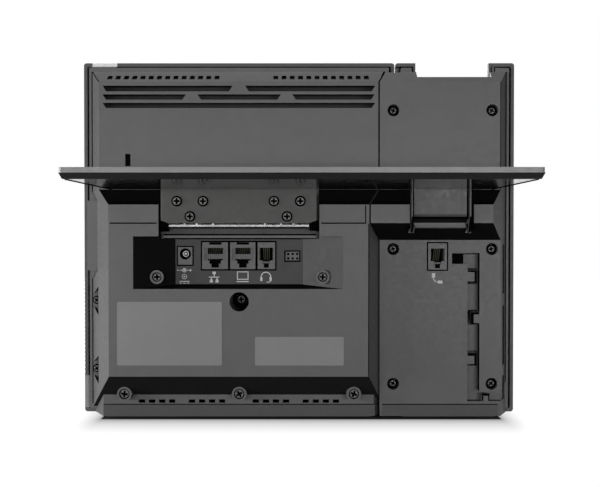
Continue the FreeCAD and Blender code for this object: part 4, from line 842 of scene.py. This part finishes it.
class PHONE_OT_sockets(bpy.types.Operator):
    """Dresses the sockets: cavities and latch slots painted dark as shade, guides, contact wires and the dark gap
    round each
    """
    bl_idname = "phone.sockets"
    bl_label = "Sockets"

    def execute(self, context):
        dark = bpy.data.materials["black_plastic_and_shade"]
        grey = bpy.data.materials["jack_plastic"]
        for node in ("lan_jack", "pc_jack", "headset_jack", "handset_jack", "power_jack"):
            self.darken(node, grey, dark)
        guides, latches, wires = bmesh.new(), bmesh.new(), bmesh.new()
        for x, front, top, cavity, kind in JACKS:
            comb, bar, drop, notches, count = JACK_KINDS[kind]
            roof = top - ROOF_DROP
            blocks = [(guides, -cavity / 2, -comb, SIDE_FOOT, 0.0),
                      (guides, comb, cavity / 2, SIDE_FOOT, 0.0), (guides, -comb, comb, *bar)]
            blocks += [(latches, -half, half, low, high) for half, low, high in notches]
            for bm, left, right, low, high in blocks:
                add_block(bm, (x + left, x + right), (roof - low, roof - high),
                          (front - GUIDE_END, front - GUIDE_SUNK))
            for index in range(count):
                across = x + (index - (count - 1) / 2) * WIRE_PITCH
                add_strip(wires, (across - WIRE_HALF, across + WIRE_HALF),
                          (front - WIRE_END, roof - drop), (front - WIRE_SUNK, roof), WIRE_THICK)
        guide = finish("guide_plastic", (0.030,) * 3, 0.50, 0.5, 0.04)
        piece("jack_guides", guides, guide, "base")
        # Painted shade: the latch notches are black blocks
        piece("latch_slot_shade", latches, dark, "base")
        olive = finish("tinned_wire", (0.060, 0.060, 0.045), 0.45, 0.3, 0.05)
        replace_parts(piece("contact_wires", wires, olive, "base"), "jack_contacts")
        bm = bmesh.new()
        for x, z, face in FRAMES:
            add_frame(bm, x, z, (face, face + FRAME_PROUD), FRAME_WIDTH)
        piece("socket_frames", bm, dark, "base")
        bm = bmesh.new()
        radius, section, depth = POWER_RING
        ring = add_arc(bm, POWER_SPOT, radius, section, (0, WHOLE_TURN))
        bmesh.ops.translate(bm, vec=(0.0, depth, 0.0), verts=ring)
        radius, length, depth, sides = POWER_PIN
        turn = Matrix.Rotation(math.radians(90.0), 4, "X")
        place = Matrix.Translation((POWER_SPOT[0], depth, POWER_SPOT[1])) @ turn
        bmesh.ops.create_cone(bm, cap_ends=True, segments=sides, radius1=radius, radius2=radius,
                              depth=length, matrix=place)
        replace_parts(piece("power_contacts", bm, bpy.data.materials["ground_steel"], "base"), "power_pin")
        return {"FINISHED"}

    def darken(self, node, grey, dark):
        """A copy of a socket whose inside is painted dark as shade."""
        bm = merged(node)
        front, top = [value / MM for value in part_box(node)[1][1:]]
        for face in bm.faces:
            middle = face.calc_center_median()
            slot = node in ("headset_jack", "handset_jack") and middle.z > top - SLOT_DROP
            face.material_index = int(front - middle.y > SHADED_FROM and not slot)
        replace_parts(piece(node + "_shaded_inside", bm, [grey, dark], body_of(node)), node)


# Pin header: spacing and width of the cells, depth of the block's face behind its rim, width of the rim,
# and how far the cells reach into the block
HEADER_PITCH = 2.54
HEADER_HOLE = 1.25
HEADER_SUNK = 0.5
HEADER_RIM = 0.5
HEADER_BITE = 0.1
# Thickness of the thin strips that lie on a face
LINE_THICK = 0.06


class PHONE_OT_header(bpy.types.Operator):
    """Makes the service header, with six black squares of painted shade for its holes"""
    bl_idname = "phone.header"
    bl_label = "Service header"

    def execute(self, context):
        low, high = [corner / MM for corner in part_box("console_header")]
        middle = (low + high) / 2
        bm = bmesh.new()
        face = high[1] - HEADER_SUNK
        sides, heights = (low[0], high[0]), (low[2], high[2])
        add_block(bm, sides, heights, (low[1], face))
        add_frame(bm, sides, heights, (face, high[1]), HEADER_RIM)
        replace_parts(piece("console_header_block", bm, bpy.data.materials["jack_plastic"], "base"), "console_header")
        # Painted shade: the six holes are black squares laid on the face
        bm = bmesh.new()
        for column in (-1, 0, 1):
            for row in (-0.5, 0.5):
                x, z = middle[0] + column * HEADER_PITCH, middle[2] + row * HEADER_PITCH
                reach = HEADER_HOLE / 2
                add_block(bm, (x - reach, x + reach), (z - reach, z + reach),
                          (face - HEADER_BITE, face + LINE_THICK))
        dark = bpy.data.materials["black_plastic_and_shade"]
        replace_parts(piece("header_hole_shade", bm, dark, "base"), "header_pins")
        return {"FINISHED"}


# Foot bands: their two ends, depth and height of their foot and head, and thickness
BANDS = ((-43.1, 111.1), (-113.0, -47.2))
BAND_FOOT = (4.66, 0.7)
BAND_HEAD = (5.04, 7.0)
BAND_THICK = 0.1
# Depths and heights of the dark line over them, and depths of the tabs' edges
OVER_DEPTH = (4.98, 5.08)
OVER_HEIGHT = (7.0, 7.5)
TAB_DEPTH = (4.98, 5.06)
# Dark edges on the cord tabs: X and Z of each bar
TAB_EDGES = (
    ((-100.6, -95.7), (82.4, 83.5)), ((-100.6, -95.7), (76.3, 77.1)), ((-100.6, -99.6), (77.1, 82.4)),
    ((-102.3, -97.4), (58.4, 59.7)), ((-102.3, -97.4), (52.8, 53.5)), ((-99.2, -97.4), (53.5, 58.4)),
    ((-100.6, -95.7), (34.8, 36.5)), ((-100.6, -95.7), (29.3, 30.1)), ((-100.6, -99.6), (30.1, 34.8)),
    ((-108.2, -103.9), (12.1, 13.3)), ((-104.8, -103.9), (9.2, 12.1)), ((-108.2, -107.5), (9.2, 12.1)),
)
# Dark lines on the back shells and the hinge bar: X, Z and depth of the face that each lies on
LINES = (
    ((121.10, 121.85), (22.0, 199.85), -5.0), ((-52.9, 105.2), (199.85, 200.4), -5.0),
    ((119.9, 121.10), (199.85, 200.4), -5.0), ((-52.6, -51.8), (197.3, 199.85), -5.0),
    ((-65.0, -55.9), (199.8, 200.4), -5.0), ((-65.7, -65.0), (194.2, 200.4), -5.0),
    ((-121.1, -112.4), (199.7, 200.3), -5.0), ((-113.0, -112.3), (194.8, 199.7), -5.0),
    ((-121.85, -121.1), (3.1, 199.8), -5.0), ((-114.3, -113.9), (129.3, 190.1), 5.0),
    ((-38.7, -38.2), (25.6, 109.6), 20.0), ((-46.1, -45.0), (129.3, 190.0), 4.4),
    ((-9.5, 75.5), (103.25, 104.05), 11.0), ((-9.5, 75.5), (101.45, 101.85), 13.0),
    ((-37.0, -12.3), (109.7, 110.4), 20.0), ((-37.0, -36.4), (110.4, 119.9), 20.0),
    ((78.3, 104.0), (109.7, 110.4), 20.0), ((-93.2, -86.8), (87.2, 92.9), 5.0),
    ((-102.5, -93.2), (92.5, 92.9), 5.0),
)
# Dark lines that move with the stand, along its arm and its steel leaf, given in the same way
STAND_LINES = (
    ((-62.95, -62.25), (113.5, 128.6), 23.0), ((-93.2, -92.1), (113.5, 128.6), 21.0),
    ((-94.75, -94.25), (113.5, 128.6), 23.0), ((-5.4, 71.6), (107.65, 108.1), 19.6),
    ((-5.4, 71.6), (109.2, 109.95), 19.0),
)
# Painted highlights, as pale lines: a reflection on the rim under the grille and light on the lower hinge bar; name,
# paint, X, Z and depth of the face
HIGHLIGHT_STRIPS = (
    ("rim_highlight", "rim_highlight_paint", (122.0, 124.6), (3.0, 21.7), -8.0),
    ("hinge_bar_highlight", "case_plastic", (-9.5, 75.5), (101.9, 103.2), 13.0),
)
# Pale strip of painted light on the slope in the arm's notch: ends, depth and height of its foot and head, and
# thickness
NOTCH_LIGHT_STRIP = ((-94.4, -61.6), (12.5, 105.65), (15.95, 107.8), 0.12)
# Dark bars on the shells and under the stand's plate: two points and thickness
SHELL_BARS = (
    ((119.1, -5.0, 197.4), (113.4, 5.0, 190.2), 0.35), ((-45.6, 4.3, 190.0), (-49.1, -5.2, 197.4), 0.8),
)
STAND_BARS = tuple(((x, 19.0, 128.65), (x, 115.0, 128.65), 0.5) for x in (103.4, -106.3))
# Dark frames of painted shade round the top vents: X of the first and number in each row; spacing; depth and height
# of the slope that they lie on, and its tilt; and each frame's two sides, two ends, two depths and width
VENT_ROWS = ((107.7, 14), (13.2, 12))
VENT_PITCH = -4.69
VENT_SPOT = (1.11, 193.0)
VENT_TILT = math.radians(54.2)
VENT_SHADE_FRAME = ((-1.38, 1.38), (-1.95, 1.95), (-0.1, 0.04), 0.28)
# Painted shade behind the grille's ribs at the side edge, as a dark block: X, Z and depths
GRILLE_GAP_SHADE = ((123.3, 124.6), (22.9, 77.4), (-11.6, -8.2))
# Dark rings of painted shadow round the screws' seats: X, Z, middle radius, width and depth of the seat; their
# thickness and middle above the seat
SHADOW_RINGS = tuple((x, z, 2.9, 0.85, 1.6) for x in (-53.5, -109.4) for z in (174.0, 95.5, 18.9))
SHADOW_RINGS += ((32.9, 66.7, 4.12, 2.3, 0.5),)
SHADOW_RING_THICK = 0.1
SHADOW_RING_PROUD = 0.06


class PHONE_OT_trims(bpy.types.Operator):
    """Makes the foot bands, the thin dark strips, painted shade round the vents, behind the grille and round the
    screws' seats, and the pale strips of painted light and highlight
    """
    bl_idname = "phone.trims"
    bl_label = "Bands, strips and washers"

    def execute(self, context):
        dark = bpy.data.materials["black_plastic_and_shade"]
        band = finish("band_plastic", context.scene.phone_colours.band, 0.55, 0.35, 0.12)
        bands, lines, stand_lines, ledge = [bmesh.new() for _ in range(4)]
        for x in BANDS:
            add_strip(bands, x, BAND_FOOT, BAND_HEAD, BAND_THICK)
            add_block(lines, x, OVER_HEIGHT, OVER_DEPTH)
        for x, z in TAB_EDGES:
            add_block(lines, x, z, TAB_DEPTH)
        # Painted shadow round the screws' seats
        for x, z, middle, width, depth in SHADOW_RINGS:
            ring = add_arc(lines, (x, z), middle, (width, SHADOW_RING_THICK), (0, WHOLE_TURN))
            bmesh.ops.translate(lines, vec=(0.0, depth + SHADOW_RING_PROUD, 0.0), verts=ring)
        for x, z, depth in LINES:
            add_block(lines, x, z, (depth, depth + LINE_THICK))
        for start, end, thick in SHELL_BARS:
            add_bar(lines, start, end, thick)
        for start, end, thick in STAND_BARS:
            add_bar(stand_lines, start, end, thick)
        for x, z, depth in STAND_LINES:
            add_block(stand_lines, x, z, (depth, depth + LINE_THICK))
        # Painted shade round the rims of the top vents
        for first, count in VENT_ROWS:
            for index in range(count):
                verts = add_frame(lines, *VENT_SHADE_FRAME)
                place = Matrix.Translation((first + index * VENT_PITCH, *VENT_SPOT))
                place = place @ Matrix.Rotation(VENT_TILT, 4, "X")
                bmesh.ops.transform(lines, matrix=place, verts=verts)
        # Painted shade behind the grille's ribs
        add_block(lines, *GRILLE_GAP_SHADE)
        # Painted light: a pale strip on the slope of the arm's notch
        add_strip(ledge, *NOTCH_LIGHT_STRIP)
        piece("notch_light_strip", ledge, bpy.data.materials["notch_painted_light"], "base")
        # Painted highlights: pale strips on the lower rim and on the lower hinge bar
        for name, paint, x, z, depth in HIGHLIGHT_STRIPS:
            pale = bmesh.new()
            add_block(pale, x, z, (depth, depth + LINE_THICK))
            piece(name, pale, bpy.data.materials[paint], "base")
        piece("stand_trims", stand_lines, dark, "stand")
        piece("foot_bands", bands, band, "base")
        piece("dark_strips_and_shade", lines, dark, "base")
        return {"FINISHED"}


# Pictogram, X, depth of the face and Z
BACK_MARKS = (("power", 64.6, 8.0, 79.0), ("network", 47.8, 8.0, 79.5), ("screen", 31.7, 8.0, 79.9),
              ("headset", 18.6, 8.0, 79.5), ("handset", -77.4, 5.0, 79.3))
KEY_MARKS = {"key_home": "home", "key_headset": "headset", "key_speaker": "speaker", "key_mute": "mute",
             "key_volume_down": "less", "key_volume_up": "more"}


class PHONE_OT_marks(bpy.types.Operator):
    """Prints the pictograms beside the sockets and on the keys"""
    bl_idname = "phone.marks"
    bl_label = "Pictograms"

    def execute(self, context):
        thick = context.scene.phone_details.mark_thick / MM
        ink = finish("mark_ink", context.scene.phone_colours.mark, 0.60, 0.5, 0.02, 0.02)
        bm = bmesh.new()
        for name, x, face, z in BACK_MARKS:
            add_mark(bm, name, x, face, z, thick, True)
        piece("socket_marks", bm, ink, "base")
        for key, name in KEY_MARKS.items():
            low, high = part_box(key)
            middle = (low + high) / 2 / MM
            bm = bmesh.new()
            add_mark(bm, name, middle.x, low.y / MM, middle.z, thick, False)
            piece(key + "_mark", bm, ink, body_of(key))
        return {"FINISHED"}


# Plain plates: X and Z of each, depth of the face and radius of their corners
PLATES = (((42.4, 100.2), (31.6, 66.7)), ((-24.7, 24.2), (31.6, 47.4)))
PLATE_FACE = 20.0
PLATE_CORNER = 0.8


class PHONE_OT_labels(bpy.types.Operator):
    """Makes the two plain plates on the back"""
    bl_idname = "phone.labels"
    bl_label = "Plain plates"

    def execute(self, context):
        thick = context.scene.phone_details.label_thick / MM
        paper = finish("label_stock", context.scene.phone_colours.label, 0.55, 0.6, 0.03, 0.02)
        bm = bmesh.new()
        for x, z in PLATES:
            verts = add_block(bm, x, z, (PLATE_FACE, PLATE_FACE + thick))
            edges = {edge for vert in verts for edge in vert.link_edges}
            upright = [edge for edge in edges if abs(edge.verts[0].co.y - edge.verts[1].co.y) > thick / 2]
            bevel(bm, upright, PLATE_CORNER)
        piece("label_plates", bm, paper, "base")
        return {"FINISHED"}


STEPS = (PHONE_OT_finishes, PHONE_OT_screws, PHONE_OT_edges, PHONE_OT_sockets, PHONE_OT_header,
         PHONE_OT_trims, PHONE_OT_marks, PHONE_OT_labels, PHONE_OT_stage)
GROUPS = {"phone_colours": PhoneColours, "phone_details": PhoneDetails, "phone_studio": PhoneStudio}


class PHONE_PT_panel(bpy.types.Panel):
    """Lists the settings and the steps."""
    bl_idname = "PHONE_PT_panel"
    bl_label = "Telephone"
    bl_space_type = "VIEW_3D"
    bl_region_type = "UI"
    bl_category = "Telephone"

    def draw(self, context):
        for group in GROUPS:
            box = self.layout.box()
            settings = getattr(context.scene, group)
            for name in settings.__annotations__:
                box.prop(settings, name)
        for step in STEPS:
            self.layout.operator(step.bl_idname)


def register():
    """Makes the settings, the steps and the panel known to Blender."""
    for group, kind in GROUPS.items():
        bpy.utils.register_class(kind)
        setattr(bpy.types.Scene, group, PointerProperty(type=kind))
    for kind in STEPS + (PHONE_PT_panel,):
        bpy.utils.register_class(kind)


def unregister():
    """Takes them away again."""
    for kind in reversed(STEPS + (PHONE_PT_panel,)):
        bpy.utils.unregister_class(kind)
    for group, kind in reversed(GROUPS.items()):
        delattr(bpy.types.Scene, group)
        bpy.utils.unregister_class(kind)


def main():
    """Builds the dressed telephone."""
    register()
    for step in STEPS:
        family, name = step.bl_idname.split(".")
        getattr(getattr(bpy.ops, family), name)()


if __name__ == "__main__":
    main()
